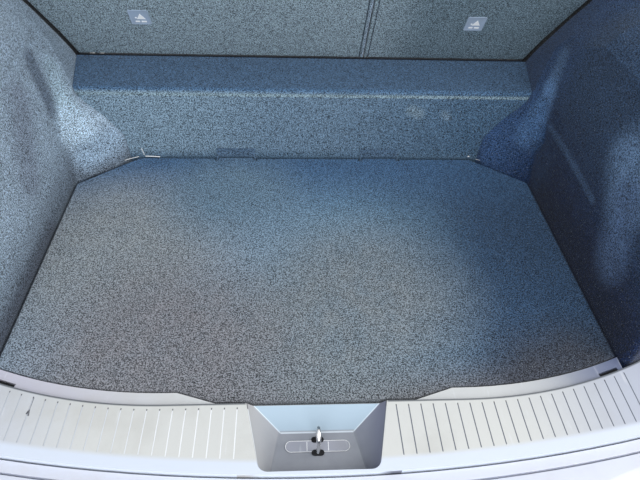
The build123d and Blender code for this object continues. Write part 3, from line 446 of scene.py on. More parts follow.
# Every finish, with its colours as they look in daylight
finishes = {
    "loadFloorFelt": felt("loadFloorFelt", {
        **feltLook, "colour": (131, 146, 161),
        # Painted shadow: darker towards the right, where the right lining shades the board; also darker and
        # bluer towards the front, browner towards the rear edge
        "tints": [
            ("x", -0.35, 0.1, (108, 137, 159)), ("x", 0.05, 0.45, (58, 81, 108)),
            ("y", 0.1, 0.4, (70, 101, 135)), ("y", -0.24, -0.36, (107, 104, 106)),
        ],
        # Soft patches lighter and darker than the felt around them, then painted shade in the gaps along the
        # board's side edges
        "marks": [
            ((-0.45, 0.05, 0.17), (-0.45, 0.05, 0.17), 0.1, 0.25, (135, 141, 145)),
            ((0.0, -0.2, 0.17), (0.1, -0.1, 0.17), 0.08, 0.25, (123, 131, 137)),
            ((-0.2, 0.25, 0.17), (-0.2, 0.25, 0.17), 0.05, 0.2, (102, 126, 145)),
            ((-0.3, -0.25, 0.17), (-0.3, -0.25, 0.17), 0.1, 0.25, (123, 123, 128)),
            ((0.52, -0.3, 0.17), (0.45, -0.32, 0.17), 0.04, 0.14, (65, 68, 77)),
            ((-0.595, -0.3, 0.17), (-0.595, 0.285, 0.17), 0.002, 0.002, (16, 24, 36)),
            ((-0.595, 0.285, 0.17), (-0.455, 0.402, 0.17), 0.003, 0.002, (16, 24, 36)),
            ((0.595, -0.3, 0.17), (0.595, 0.285, 0.17), 0.002, 0.003, (23, 31, 48)),
        ],
    }),
    "liningFeltLeft": felt("liningFeltLeft", {
        **feltLook, "colour": (155, 173, 190), "cloudy": 0.5,
        # Painted shade: darker down towards the board, and nearly black where the lining runs on behind the
        # seat backs
        "tints": [("z", 0.30, 0.17, (103, 115, 129)), ("depth", -0.008, -0.004, (7, 11, 18))],
        # Painted highlights and shade along the bulge's ridges and creases, and painted shade low along the
        # board
        "marks": [
            ((-0.627, 0.336, 0.482), (-0.610, 0.330, 0.360), 0.010, 0.03, (103, 117, 134)),
            ((-0.618, 0.406, 0.423), (-0.600, 0.380, 0.345), 0.012, 0.04, (169, 192, 207)),
            ((-0.592, 0.349, 0.309), (-0.576, 0.347, 0.285), 0.020, 0.05, (180, 202, 220)),
            ((-0.570, 0.344, 0.220), (-0.517, 0.394, 0.233), 0.010, 0.05, (140, 161, 181)),
            ((-0.624, 0.227, 0.446), (-0.608, 0.115, 0.317), 0.010, 0.06, (132, 145, 162)),
            ((-0.601, -0.25, 0.175), (-0.601, 0.10, 0.172), 0.010, 0.04, (84, 92, 106)),
        ],
    }),
    "liningFeltRight": felt("liningFeltRight", {
        # The same felt as the left lining, painted in shade: a near black base, lighter upwards and towards
        # the front, nearly black behind the seat backs
        **feltLook, "colour": (17, 32, 62), "cloudy": 0.5,
        "tints": [
            ("z", 0.22, 0.5, (54, 74, 100)), ("y", 0.26, 0.40, (54, 77, 111)),
            ("depth", -0.008, -0.004, (4, 8, 14)),
        ],
        # Painted highlights along the ridges and creases, and painted shade low along the board
        "marks": [
            ((0.609, 0.312, 0.336), (0.602, 0.251, 0.215), 0.020, 0.05, (31, 50, 79)),
            ((0.601, 0.20, 0.19), (0.601, -0.20, 0.20), 0.020, 0.06, (18, 30, 54)),
            ((0.627, 0.406, 0.477), (0.615, 0.387, 0.397), 0.006, 0.035, (86, 112, 144)),
            ((0.615, 0.387, 0.397), (0.602, 0.372, 0.340), 0.008, 0.035, (98, 130, 169)),
            ((0.602, 0.372, 0.340), (0.577, 0.347, 0.283), 0.010, 0.045, (72, 100, 136)),
            ((0.609, 0.312, 0.336), (0.610, 0.199, 0.336), 0.002, 0.012, (62, 83, 111)),
            ((0.610, 0.199, 0.336), (0.610, 0.037, 0.327), 0.002, 0.012, (62, 83, 111)),
            ((0.627, 0.019, 0.454), (0.620, -0.042, 0.394), 0.010, 0.08, (104, 130, 161)),
            ((0.620, -0.042, 0.394), (0.605, -0.102, 0.285), 0.005, 0.07, (80, 101, 133)),
        ],
    }),
    "stepFelt": felt("stepFelt", {
        **feltLook, "colour": (114, 135, 151),
        # Painted shade: darker towards the right and towards the bottom, and a painted shadow of the seat
        # backs on the ledge's top
        "tints": [
            ("x", -0.45, 0.0, (97, 118, 137)), ("x", 0.0, 0.5, (70, 94, 117)),
            ("z", 0.200, 0.165, (77, 100, 121)), ("z", 0.352, 0.359, (74, 101, 130)),
        ],
        "marks": [
            ((0.28, 0.43, 0.31), (0.30, 0.43, 0.30), 0.004, 0.02, (112, 132, 147)),
            ((0.37, 0.43, 0.30), (0.38, 0.43, 0.29), 0.002, 0.015, (104, 124, 141)),
        ],
        # Painted highlight along the rounded top edge
        "bands": [("z", 0.347, 0.003, (120, 140, 151))],
    }),
    "flapFelt": felt("flapFelt", {**feltLook, "colour": (76, 97, 119)}),
    "seatFelt": felt("seatFelt", {
        # Darker to the right of the split, and painted shade in the creases beside the lips
        **feltLook, "colour": (136, 153, 162), "tints": [("x", 0.16, 0.34, (104, 123, 134))], "cloudy": 0.2,
        "bands": [("x", 0.1500, 0.0012, (55, 67, 79)), ("x", 0.1745, 0.0012, (69, 81, 93))],
    }),
    "lipFelt": felt("lipFelt", {**feltLook, "colour": (143, 160, 175), "cloudy": 0.2}),
    # Dark felt for pieces that stand in for shade: the flap behind the seat split, and the pads and strip
    # under the seat backs
    "darkFelt": felt("darkFelt", {**feltLook, "colour": (30, 35, 42), "pale": (70, 74, 81)}),
    "scuffPlastic": grainedPlastic("scuffPlastic", {
        "grain": 700.0, "bump": 0.35, "rough": 0.5, "colour": (196, 199, 207),
        # Painted light: lighter at the left, shaded towards the right
        "tints": [(-0.6, -0.35, (207, 207, 204)), (0.3, 0.65, (175, 180, 195))], "dust": (176, 173, 167),
        "dusty": 0.3, "rub": (223, 224, 228), "rubbed": 0.3, "gritty": 0.25, "plate": plate,
    }),
    "sillPlastic": grainedPlastic("sillPlastic", {
        "grain": 600.0, "bump": 0.3, "rough": 0.55, "colour": (195, 193, 206),
        # Painted light: lighter at the left, much darker towards the right
        "tints": [(-0.55, -0.2, (204, 205, 205)), (0.32, 0.60, (107, 116, 144))], "dust": (186, 181, 179),
        "dusty": 0.3, "rub": (232, 234, 241), "rubbed": 0.25,
    }),
    "insertPlastic": grainedPlastic("insertPlastic", {
        "grain": 900.0, "bump": 0.3, "rough": 0.5, "colour": (153, 155, 166), "dust": (137, 137, 139),
        "dusty": 0.4, "rub": (197, 200, 206), "rubbed": 0.3,
    }),
    "tagPlastic": grainedPlastic("tagPlastic", {
        "grain": 800.0, "bump": 0.25, "rough": 0.42, "colour": (157, 173, 194), "dust": (125, 131, 135),
        "dusty": 0.3, "rub": (184, 192, 203), "rubbed": 0.3,
    }),
    "markPlastic": grainedPlastic("markPlastic", {
        "grain": 800.0, "bump": 0.2, "rough": 0.4, "colour": (246, 246, 246), "dust": (174, 176, 179),
        "dusty": 0.3, "rub": (246, 246, 246), "rubbed": 0.3,
    }),
    "blackPlastic": grainedPlastic("blackPlastic", {
        "grain": 800.0, "bump": 0.3, "rough": 0.55, "colour": (16, 16, 20), "dust": (51, 50, 49),
        "dusty": 0.3, "rub": (39, 39, 42), "rubbed": 0.4, "gritty": 0.04, "shine": 0.2,
    }),
    "whitePaint": paintedMetal("whitePaint", {
        "colour": (207, 211, 225), "dust": (194, 191, 193), "dusty": 0.4, "chip": (131, 119, 110),
        "chipFrom": 0.82, "peel": 380.0, "rough": 0.3, "coat": 0.8,
    }),
    "primer": paintedMetal("primer", {
        "colour": (130, 135, 139), "dust": (146, 139, 130), "dusty": 0.55, "chip": (111, 72, 51),
        "chipFrom": 0.74, "peel": 300.0, "rough": 0.5, "coat": 0.15,
    }),
    "rimPaint": paintedMetal("rimPaint", {
        "colour": (53, 55, 57), "dust": (102, 97, 90), "dusty": 0.45, "chip": (128, 86, 60), "chipFrom": 0.76,
        "peel": 300.0, "rough": 0.42, "coat": 0.3,
    }),
    "bracketPaint": paintedMetal("bracketPaint", {
        "colour": (35, 36, 38), "dust": (63, 60, 58), "dusty": 0.4, "chip": (97, 72, 56), "chipFrom": 0.86,
        "peel": 350.0, "rough": 0.45, "coat": 0.2,
    }),
    "polishedSteel": polishedSteel("polishedSteel", {
        "colour": (246, 246, 246), "worn": (174, 176, 183), "rough": 0.1, "wipeSize": (300.0, 300.0, 40.0),
        "rubSize": 120.0, "rubFrom": (0.55, 0.8), "wiped": 0.22, "bump": 0.1, "height": 0.0002,
    }),
    "seatCloth": wovenCloth("seatCloth", {
        "thread": 2600.0, "dark": (34, 35, 39), "light": (78, 81, 89), "worn": (66, 67, 72),
        "wornFrom": (0.35, 0.75), "wornShare": 0.5, "mottleSize": 10.0, "fuzzSize": 900.0, "fuzzy": 0.35,
        "rough": 0.86, "shine": 0.2, "sheen": 0.25, "bump": 0.6, "height": 0.0008,
    }),
    "trayFoam": mouldedFoam("trayFoam", {
        "colour": (67, 67, 70), "seam": (39, 39, 42), "seamWide": 0.12, "seamDeep": 0.1, "beads": 260.0,
        "dust": (107, 102, 95), "dustSize": 8.0, "dustFrom": (0.45, 0.75), "dusty": 0.4, "pits": 120.0,
        "rough": 0.8, "bump": 0.6, "height": 0.0009,
    }),
    "tyreRubber": rubber("tyreRubber", {
        "colour": (39, 39, 41), "dust": (86, 82, 77), "dustSize": 18.0, "dustFrom": (0.4, 0.75), "dusty": 0.6,
        "fine": 500.0, "rough": 0.72, "bump": 0.35, "height": 0.0004,
    }),
}
finishOfNode = {
    "load_floor": "loadFloorFelt", "side_lining_left": "liningFeltLeft",
    "side_lining_right": "liningFeltRight", "step_riser": "stepFelt",
    "hinge_flap_left": "flapFelt", "hinge_flap_right": "flapFelt",
    "sill_ledge": "sillPlastic", "slot_cover": "insertPlastic",
    "anchor_cover_left": "tagPlastic", "anchor_cover_right": "tagPlastic",
}
finishOfSlot = {
    "body_primer": "primer", "white_paint": "whitePaint", "silver_plastic": "scuffPlastic",
    "grey_plastic": "sillPlastic", "striker_chrome": "polishedSteel", "needle_carpet": "loadFloorFelt",
    "seat_carpet": "seatFelt", "seat_cloth": "seatCloth", "foam_tray": "trayFoam",
    "spare_rubber": "tyreRubber", "rim_paint": "rimPaint", "black_plastic": "blackPlastic",
    "bracket_steel": "bracketPaint",
}


def dress(obj, finish):
    obj.data.materials.clear()
    obj.data.materials.append(finishes[finish])


for node, obj in nodes.items():
    dress(obj, finishOfNode.get(node) or finishOfSlot[slotOfNode[node]])
print("finishes ready,", len(finishes))


# Making pieces
merge = {"near": 0.00002, "flat": 0.6}


def pick(obj):
    bpy.ops.object.select_all(action="DESELECT")
    obj.select_set(True)
    bpy.context.view_layer.objects.active = obj


def choose(obj, kind, wanted):  # edit mode, with only the wanted edges or faces selected
    pick(obj)
    bpy.ops.object.mode_set(mode="EDIT")
    bpy.ops.mesh.select_mode(type=kind)
    bpy.ops.mesh.select_all(action="DESELECT")
    bpy.ops.object.mode_set(mode="OBJECT")
    for part in obj.data.edges if kind == "EDGE" else obj.data.polygons:
        part.select = wanted(part)
    bpy.ops.object.mode_set(mode="EDIT")


def applyAll(obj):
    pick(obj)
    for modifier in list(obj.modifiers):
        bpy.ops.object.modifier_apply(modifier=modifier.name)


def soften(obj, width, steps=2, angle=32):  # rounds a piece's edges and shades it smooth
    bevel = obj.modifiers.new("edges", "BEVEL")
    bevel.width = width
    bevel.segments = steps
    bevel.limit_method = "ANGLE"
    bevel.angle_limit = radians(angle)
    applyAll(obj)
    pick(obj)
    bpy.ops.object.shade_smooth_by_angle(angle=radians(angle))
    obj.modifiers.new("flats", "WEIGHTED_NORMAL").keep_sharp = True
    applyAll(obj)
    return obj


def settle(obj, body, finish, place=None):  # rides on a body, with its place in its mesh
    if place:
        obj.data.transform(place)
    dress(obj, finish)
    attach(obj, body)
    return obj


def copyOf(node, name):  # the CAD node's shape, merged, as a new piece to work on
    obj = bpy.data.objects.new(name, nodes[node].data.copy())
    bpy.context.scene.collection.objects.link(obj)
    pick(obj)
    bpy.ops.object.mode_set(mode="EDIT")
    bpy.ops.mesh.select_all(action="SELECT")
    bpy.ops.mesh.remove_doubles(threshold=merge["near"])
    bpy.ops.mesh.dissolve_limited(angle_limit=radians(merge["flat"]), delimit=set())
    bpy.ops.mesh.select_all(action="SELECT")
    bpy.ops.mesh.normals_make_consistent(inside=False)
    bpy.ops.object.mode_set(mode="OBJECT")
    return obj


def placed(name):  # names the new primitive and puts its place in its mesh
    obj = bpy.context.object
    obj.name = name
    bpy.ops.object.transform_apply(location=True, rotation=True, scale=True)
    return obj


def slab(name, middle, half, low, high, radius, steps=6):  # upright block with its corners rounded
    size = (*half, (high - low) / 2)
    at = (*middle, (low + high) / 2)
    bpy.ops.object.select_all(action="DESELECT")
    bpy.ops.mesh.primitive_cube_add(size=2, calc_uvs=False, location=at, scale=size)
    obj = placed(name)

    def upright(edge):
        a, b = (obj.data.vertices[i].co.z for i in edge.vertices)
        return abs(a - b) > size[2]

    choose(obj, "EDGE", upright)
    bpy.ops.mesh.bevel(offset=radius, segments=steps, affect="EDGES")
    bpy.ops.object.mode_set(mode="OBJECT")
    return obj


def bar(name, middle, radius, low, high, sides, turn=0):  # upright bar with flat sides
    at = (*middle, (low + high) / 2)
    bpy.ops.object.select_all(action="DESELECT")
    bpy.ops.mesh.primitive_cylinder_add(
        vertices=sides, radius=radius, depth=high - low, calc_uvs=False, location=at, rotation=(0, 0, turn),
    )
    return placed(name)


def sinkTop(obj, rim, sunk):  # sinks a block's top inside a rim
    high = max(v.co.z for v in obj.data.vertices)
    choose(obj, "FACE", lambda face: face.center.z > high - sunk / 10)
    bpy.ops.mesh.inset(thickness=rim, depth=0, use_even_offset=False)
    bpy.ops.mesh.inset(thickness=rim / 2, depth=-sunk, use_even_offset=False)
    bpy.ops.object.mode_set(mode="OBJECT")
    return obj


def tube(name, points, radius, fineness=3):  # round bar along points
    curve = bpy.data.curves.new(name, "CURVE")
    curve.dimensions = "3D"
    curve.bevel_depth = radius
    curve.bevel_resolution = fineness
    curve.use_fill_caps = True
    line = curve.splines.new("POLY")
    line.points.add(len(points) - 1)
    for p, at in zip(line.points, points):
        p.co = (*at, 1)
    obj = bpy.data.objects.new(name, curve)
    bpy.context.scene.collection.objects.link(obj)
    pick(obj)
    bpy.ops.object.convert(target="MESH")
    bpy.ops.object.shade_smooth_by_angle(angle=radians(50))
    return bpy.context.object


def joined(name, objects):
    if len(objects) > 1:
        bpy.ops.object.select_all(action="DESELECT")
        for obj in objects:
            obj.select_set(True)
        bpy.context.view_layer.objects.active = objects[0]
        bpy.ops.object.join()
    objects[0].name = name
    return objects[0]


def again(obj, name):  # a copy with its own mesh
    pick(obj)
    bpy.ops.object.duplicate()
    bpy.context.object.name = name
    return bpy.context.object


def pairOf(obj, shift):  # two of a piece, one each side of where it was
    other = again(obj, "other")
    obj.data.transform(Matrix.Translation(shift))
    other.data.transform(Matrix.Translation(-Vector(shift)))
    return joined(obj.name, [obj, other])


def discard(*shapes):  # models that only copies were made of
    for obj in shapes:
        bpy.data.objects.remove(obj)


# Pieces whose CAD edges get rounded: width of the rounding in metres, and its steps
rounding = {
    "load_floor": ("loadFloor", 0.0035, 3),
    "side_lining_left": ("liningLeft", 0.0016, 2), "side_lining_right": ("liningRight", 0.0016, 2),
    "hinge_flap_left": ("flapLeft", 0.0008, 2), "hinge_flap_right": ("flapRight", 0.0008, 2),
    "seat_wide_panel": ("backPanelWide", 0.0035, 3), "seat_narrow_panel": ("backPanelNarrow", 0.0035, 3),
    "sill_ledge": ("sillStrip", 0.0012, 2), "rear_panel": ("rearPanel", 0.0006, 2),
    "tool_tray": ("toolTray", 0.004, 3), "bumper_cover": ("bumperCover", 0.0009, 2),
    "hold_down": ("holdDown", 0.0018, 2), "striker": ("strikerLoop", 0.0006, 2),
    "scuff_plate": ("scuffPlate", 0.0009, 2),
}
for node, (name, width, steps) in rounding.items():
    obj = soften(copyOf(node, name), width, steps)
    settle(obj, bodyOfNode[node], finishOfNode.get(node) or finishOfSlot[slotOfNode[node]])
    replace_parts(obj, node)
print("edges rounded,", len(rounding), "pieces")

# Slot cover with its rim and panel lines, and the grommets round the striker's legs
slot = {
    "rim": 0.0011, "sunk": 0.0006, "edge": 0.0003, "flat": 0.0001, "ring": 0.00045, "lineX": 0.019,
    "lineHalf": 0.0005, "lineRound": 0.0002, "lineDeep": 0.001, "lineHigh": 0.0001,
    "grommet": (0.0112, 0.0052), "grommetHigh": 0.0042, "grommetEdge": 0.0014, "legs": 0.01175,
}
slotLow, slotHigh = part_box("slot_cover")
slotY = (slotLow[1] + slotHigh[1]) / 2
slotHalf = ((slotHigh[0] - slotLow[0]) / 2, (slotHigh[1] - slotLow[1]) / 2)
cover = slab("slotInsert", (0, slotY), slotHalf, slotLow[2], slotHigh[2], slotHalf[1] - slot["flat"], 10)
sinkTop(cover, slot["rim"], slot["sunk"])
settle(soften(cover, slot["edge"]), "body_shell", "insertPlastic")
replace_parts(cover, "slot_cover")
insetZ = slotHigh[2] - slot["sunk"]
lineHalf = (slot["lineHalf"], slotHalf[1] - 2 * slot["rim"])
lineEnds = (insetZ - slot["lineDeep"], insetZ + slot["lineHigh"])
line = slab("slotLines", (0, slotY), lineHalf, *lineEnds, slot["lineRound"], 1)
settle(pairOf(line, (slot["lineX"], 0, 0)), "body_shell", "markPlastic")


def ringLine(halfX, halfY, radius, steps):  # round the cover, half way over its rim
    points = []
    for cornerX, cornerY, start in ((1, 1, 0), (-1, 1, 90), (-1, -1, 180), (1, -1, 270)):
        for i in range(steps + 1):
            a = radians(start + 90 * i / steps)
            x = cornerX * (halfX - radius) + radius * cos(a)
            points.append((x, slotY + cornerY * (halfY - radius) + radius * sin(a), slotHigh[2]))
    return points + points[:1]


ringHalf = (slotHalf[0] - slot["rim"] / 2, slotHalf[1] - slot["rim"] / 2)
# A white ring half way over the rim paints the rim's highlight
ring = tube("slotRing", ringLine(*ringHalf, ringHalf[1] - slot["flat"], 10), slot["ring"], 1)
settle(ring, "body_shell", "markPlastic")
grommet = slab(
    "legGrommets", (0, slotY), slot["grommet"], slotLow[2], slotLow[2] + slot["grommetHigh"],
    slot["grommet"][1] - slot["flat"], 8,
)
settle(pairOf(soften(grommet, slot["grommetEdge"], 3), (0, slot["legs"], 0)), "body_shell", "blackPlastic")
print("slot cover ready")

# Black buffers in the sill strip's notches; their black also stands in for the shade inside the notches
notch = {
    "x": 0.567, "y": -0.2945, "half": (0.0212, 0.0036), "round": 0.003, "low": 0.1562, "high": 0.1702,
    "edge": 0.0008,
}
turn = asin((notch["x"] - plate["straight"]) / plate["radius"])
buffer = slab("buffer", (0, 0), notch["half"], notch["low"], notch["high"], notch["round"])
soften(buffer, notch["edge"])
for side, name in ((-1, "bufferLeft"), (1, "bufferRight")):
    place = Matrix.Translation((side * notch["x"], notch["y"], 0)) @ Matrix.Rotation(side * turn, 4, "Z")
    settle(again(buffer, name), "body_shell", "blackPlastic", place)
discard(buffer)
print("buffers ready")

# Anchor covers on the seat backs: a framed tile with a plain mark, a triangle, a dot and two bars
tag = {
    "half": 0.025, "round": 0.004, "thick": 0.002, "rim": 0.0022, "sunk": 0.0008, "edge": 0.0004, "up": 0.153,
    "low": 0.001, "high": 0.0021, "markEdge": 0.0003, "triangle": 0.0125, "triangleAt": (0.003, 0.001),
    "dotHalf": 0.0022, "dotRound": 0.0021, "dotAt": (-0.0095, -0.001), "barHigh": 0.0020, "barHalf": 0.0024,
    "barRound": 0.0012, "barDown": -0.0145,
    "bars": [(-0.008, 0.0055), (0.008, 0.0065)],  # middle, half length
}
tile = slab("tile", (0, tag["up"]), (tag["half"], tag["half"]), 0, tag["thick"], tag["round"])
soften(sinkTop(tile, tag["rim"], tag["sunk"]), tag["edge"])
at = (tag["triangleAt"][0], tag["up"] + tag["triangleAt"][1])
marks = [bar("triangle", at, tag["triangle"], tag["low"], tag["high"], 3)]
at = (tag["dotAt"][0], tag["up"] + tag["dotAt"][1])
marks.append(slab("dot", at, (tag["dotHalf"], tag["dotHalf"]), tag["low"], tag["high"], tag["dotRound"]))
for x, half in tag["bars"]:
    at = (x, tag["up"] + tag["barDown"])
    marks.append(slab("bar", at, (half, tag["barHalf"]), tag["low"], tag["barHigh"], tag["barRound"], 3))
mark = soften(joined("mark", marks), tag["markEdge"])
for node, name, body in (("anchor_cover_left", "tagLeft", "seat_back_wide"),
                         ("anchor_cover_right", "tagRight", "seat_back_narrow")):
    low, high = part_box(node)
    place = onSeatFace @ Matrix.Translation(((low[0] + high[0]) / 2, 0, 0))
    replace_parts(settle(again(tile, name), body, "tagPlastic", place), node)
    settle(again(mark, name + "Mark"), body, "markPlastic", place)
discard(tile, mark)
print("anchor covers ready")

# Split between the seat backs: rolled carpet lips, with a dark flap behind the gap that stands in for the
# shade there
split = {
    "from": 0.008, "to": 0.560, "points": 40, "off": 0.0010, "waver": 0.0003, "waveX": 31, "waveOff": 47,
    "lips": {
        # name: body, x, radius, finish
        "lipWide": ("seat_back_wide", 0.1571, 0.0037, "lipFelt"),
        "lipNarrow": ("seat_back_narrow", 0.1665, 0.0030, "seatFelt"),
    },
    "flapAt": (0.1622, 0.0110), "flapHalf": (0.0046, 0.0006), "flapRound": 0.0005,
}
for name, (body, x, radius, finish) in split["lips"].items():
    points = []
    for i in range(split["points"] + 1):
        up = split["from"] + (split["to"] - split["from"]) * i / split["points"]
        lipX = x + split["waver"] * sin(split["waveX"] * up)
        points.append((lipX, split["off"] + split["waver"] * sin(split["waveOff"] * up + x), up))
    settle(tube(name, points, radius), body, finish, onSeat)
flap = slab(
    "splitFlap", split["flapAt"], split["flapHalf"], split["from"], split["to"], split["flapRound"], 2,
)
settle(flap, "seat_back_narrow", "darkFelt", onSeat)
print("seat split ready")

# Damping pads on the ledge between the seat brackets, and a dark strip along the seat backs' foot: dark felt
# that stands in for the shade seen through the gaps under the seat backs
ledge = {
    # name: left, right, front, back, low, high, corner radius, edge radius
    "dampingShadePad0": (-0.577, 0.133, 0.714, 0.628, 0.336, 0.343, 0.010, 0.0030),
    "dampingShadePad1": (0.186, 0.577, 0.714, 0.628, 0.336, 0.343, 0.010, 0.0030),
    "footShadeStrip": (-0.626, 0.626, 0.6224, 0.6162, 0.337, 0.365, 0.003, 0.0015),
}
for name, (left, right, front, back, low, high, corner, edge) in ledge.items():
    half = ((right - left) / 2, (front - back) / 2)
    pad = slab(name, ((left + right) / 2, (front + back) / 2), half, low, high, corner)
    settle(soften(pad, edge), "body_shell", "darkFelt")
print("damping pads ready")

# Hex bolts in the seat brackets' feet
bolt = {
    "washer": 0.0085, "washerHigh": 0.0014, "head": 0.0066, "headHigh": 0.0052, "edge": 0.0005,
    "apart": 0.021, "foot": 0.003,
    "brackets": {  # the bolts' places across each bracket
        "seat_bracket_left": (0.005,), "seat_bracket_middle": (-0.0115, 0.0115),
        "seat_bracket_right": (-0.005,),
    },
}
washer = bar("washer", (0, 0), bolt["washer"], 0, bolt["washerHigh"], 24)
head = bar("head", (0, 0), bolt["head"], 0, bolt["headHigh"], 6, pi / 6)
bolts = pairOf(soften(joined("bolts", [washer, head]), bolt["edge"]), (0, bolt["apart"], 0))
for node, offsets in bolt["brackets"].items():
    low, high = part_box(node)
    copies = []
    for offset in offsets:
        copies.append(again(bolts, "bolts"))
        at = ((low[0] + high[0]) / 2 + offset, (low[1] + high[1]) / 2, low[2] + bolt["foot"])
        copies[-1].data.transform(Matrix.Translation(at))
    settle(joined(node + "_bolts", copies), "body_shell", "bracketPaint")
discard(bolts)
print("bolts ready")

# Frayed threads and lint at the board's front corners, where the carpets meet
threads = {
    # name: radius, places along it
    "frayLeft": (0.0007, [(-0.4967, 0.3840, 0.1735), (-0.4800, 0.3932, 0.1738), (-0.4603, 0.4027, 0.1735)]),
    "hookLeft": (0.0007, [(-0.4462, 0.4066, 0.1765), (-0.4460, 0.4074, 0.1810), (-0.4507, 0.4092, 0.1957)]),
    "hemLeft": (0.0011, [(-0.4430, 0.4050, 0.1735), (-0.4200, 0.4035, 0.1740), (-0.4034, 0.4022, 0.1735)]),
    "lintRight": (0.0017, [(0.4565, 0.4050, 0.1780), (0.4610, 0.4050, 0.1787)]),
    "frayRight": (0.0005, [(0.4790, 0.3985, 0.1735), (0.4950, 0.3900, 0.1738), (0.5120, 0.3790, 0.1735)]),
}
for name, (radius, points) in threads.items():
    settle(tube(name, points, radius), "body_shell", "markPlastic")
print("threads ready")

# Spare tyre: its section is spun round, then tread blocks are raised between grooves
tyre = {
    "bead": 0.205, "blocks": 96, "rows": 5, "gapEvery": 8, "side": 0.030, "groove": 0.0019, "deep": 0.005,
    "shoulder": 0.026, "near": 0.0005, "smooth": 30,
}


def treadedTyre(name, s):
    low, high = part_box("spare_tyre")
    outer = (high[0] - low[0]) / 2
    middleY = (low[1] + high[1]) / 2
    base = outer - s["deep"]
    row = (high[2] - low[2] - 2 * s["side"]) / s["rows"]
    treadLow = low[2] + s["side"]
    wall = [
        (s["bead"], 0.010), (s["bead"] + 0.006, 0.004), (s["bead"] + 0.014, 0.002), (0.236, 0.0015),
        (0.238, 0.0005), (0.252, 0.0005), (0.254, 0.0018), (outer - s["shoulder"], 0.001),
        (outer - 0.012, 0.007), (base - 0.001, 0.018),
    ]
    section = [(r, low[2] + h) for r, h in wall]
    section += [(base, treadLow + row * i) for i in range(s["rows"] + 1)]
    section += [(r, high[2] - h) for r, h in reversed(wall)]
    bpy.ops.object.select_all(action="DESELECT")
    bpy.ops.mesh.primitive_circle_add(vertices=len(section), radius=base, calc_uvs=False, location=(0, 0, 0))
    obj = placed(name)
    for v, (r, z) in zip(obj.data.vertices, section):
        v.co = (r, middleY, z)
    bpy.ops.object.mode_set(mode="EDIT")
    bpy.ops.mesh.select_all(action="SELECT")
    bpy.ops.mesh.spin(steps=s["blocks"], angle=2 * pi, center=(0, middleY, 0), axis=(0, 0, 1))
    bpy.ops.mesh.select_all(action="SELECT")
    bpy.ops.mesh.remove_doubles(threshold=merge["near"])
    bpy.ops.mesh.normals_make_consistent(inside=False)
    bpy.ops.object.mode_set(mode="OBJECT")

    def isBlock(face):
        x, y, z = face.center
        rowAt = (z - treadLow) / row
        if not 0 < rowAt < s["rows"] or hypot(x, y - middleY) < base - s["near"]:
            return False
        around = int((atan2(y - middleY, x) / (2 * pi) + 1) * s["blocks"]) % s["blocks"]
        return (around + int(rowAt) + len(wall)) % s["gapEvery"] > 0

    choose(obj, "FACE", isBlock)
    bpy.ops.mesh.inset(thickness=s["groove"], depth=s["deep"], use_individual=True, use_even_offset=False)
    bpy.ops.object.mode_set(mode="OBJECT")
    pick(obj)
    bpy.ops.object.shade_smooth_by_angle(angle=radians(s["smooth"]))
    return obj


spareTyre = treadedTyre("spareTread", tyre)
settle(spareTyre, "body_shell", "tyreRubber")
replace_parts(spareTyre, "spare_tyre")
print("tyre ready")

# Seat pads and headrests: puffed by cloth pressure, then stitched
cushions = {
    # node: name, voxel, start inside, most move, seams across, seams up, seam depth
    "seat_wide_pad": ("padWide", 0.0095, 0.005, 0.009, (-0.52, -0.335, -0.215, -0.015), (0.17, 0.43), 0.005),
    "seat_narrow_pad": ("padNarrow", 0.0095, 0.005, 0.009, (0.335, 0.525), (0.17, 0.43), 0.005),
    "headrest_left": ("restLeft", 0.006, 0.004, 0.006, (), (), 0.003),
    "headrest_centre": ("restCentre", 0.006, 0.004, 0.006, (), (), 0.003),
    "headrest_right": ("restRight", 0.006, 0.004, 0.006, (), (), 0.003),
}
sewing = {"pressure": 4, "frames": 20, "channel": 0.006, "piping": 0.004, "fade": 0.02, "offPanel": 0.0006}


def puff(node, name, voxel, start, cap, seamsX, seamsUp, seamDeep):
    obj = copyOf(node, name)
    grid = obj.modifiers.new("grid", "REMESH")
    grid.mode = "VOXEL"
    grid.voxel_size = voxel
    shrink = obj.modifiers.new("start", "DISPLACE")
    shrink.mid_level = 0
    shrink.strength = -start
    applyAll(obj)
    before = [v.co.copy() for v in obj.data.vertices]
    cloth = obj.modifiers.new("cloth", "CLOTH")
    cloth.settings.use_pressure = True
    cloth.settings.uniform_pressure_force = sewing["pressure"]
    cloth.settings.effector_weights.gravity = 0
    for step in range(sewing["frames"]):
        bpy.context.scene.frame_set(step + 1)
    applyAll(obj)
    bpy.context.scene.frame_set(1)
    for v, old in zip(obj.data.vertices, before):
        move = v.co - old
        if move.length > cap:
            v.co = old + move * (cap / move.length)
    obj.modifiers.new("finer", "SUBSURF").levels = 1
    applyAll(obj)
    stitch(obj, node, seamsX, seamsUp, seamDeep)
    pick(obj)
    bpy.ops.object.shade_smooth()
    settle(obj, bodyOfNode[node], "seatCloth")
    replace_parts(obj, node)


def stitch(obj, node, seamsX, seamsUp, deep):  # sewn channels on a pad's front, piping round a headrest
    fromSeat = onSeat.inverted()
    places = [fromSeat @ v.co for v in obj.data.vertices]
    middle = (min(p.y for p in places) + max(p.y for p in places)) / 2
    centreX = sum(p.x for p in places) / len(places)
    centreUp = sum(p.z for p in places) / len(places)
    for v, p in zip(obj.data.vertices, places):
        if node.startswith("headrest"):
            pull = exp(-(((p.y - middle) / sewing["piping"]) ** 2))
            p += Vector((centreX - p.x, 0, centreUp - p.z)).normalized() * deep * pull
        else:
            if p.y > middle:
                reach = min(1, (p.y - middle) / sewing["fade"])
                pull = sum(exp(-(((p.x - x) / sewing["channel"]) ** 2)) for x in seamsX)
                pull += sum(exp(-(((p.z - up) / sewing["channel"]) ** 2)) for up in seamsUp)
                p.y -= deep * min(1, pull * reach)
            p.y = max(p.y, seat["panel"] + sewing["offPanel"])
        v.co = onSeat @ p


for node, settings in cushions.items():
    puff(node, *settings)
print("cushions ready")

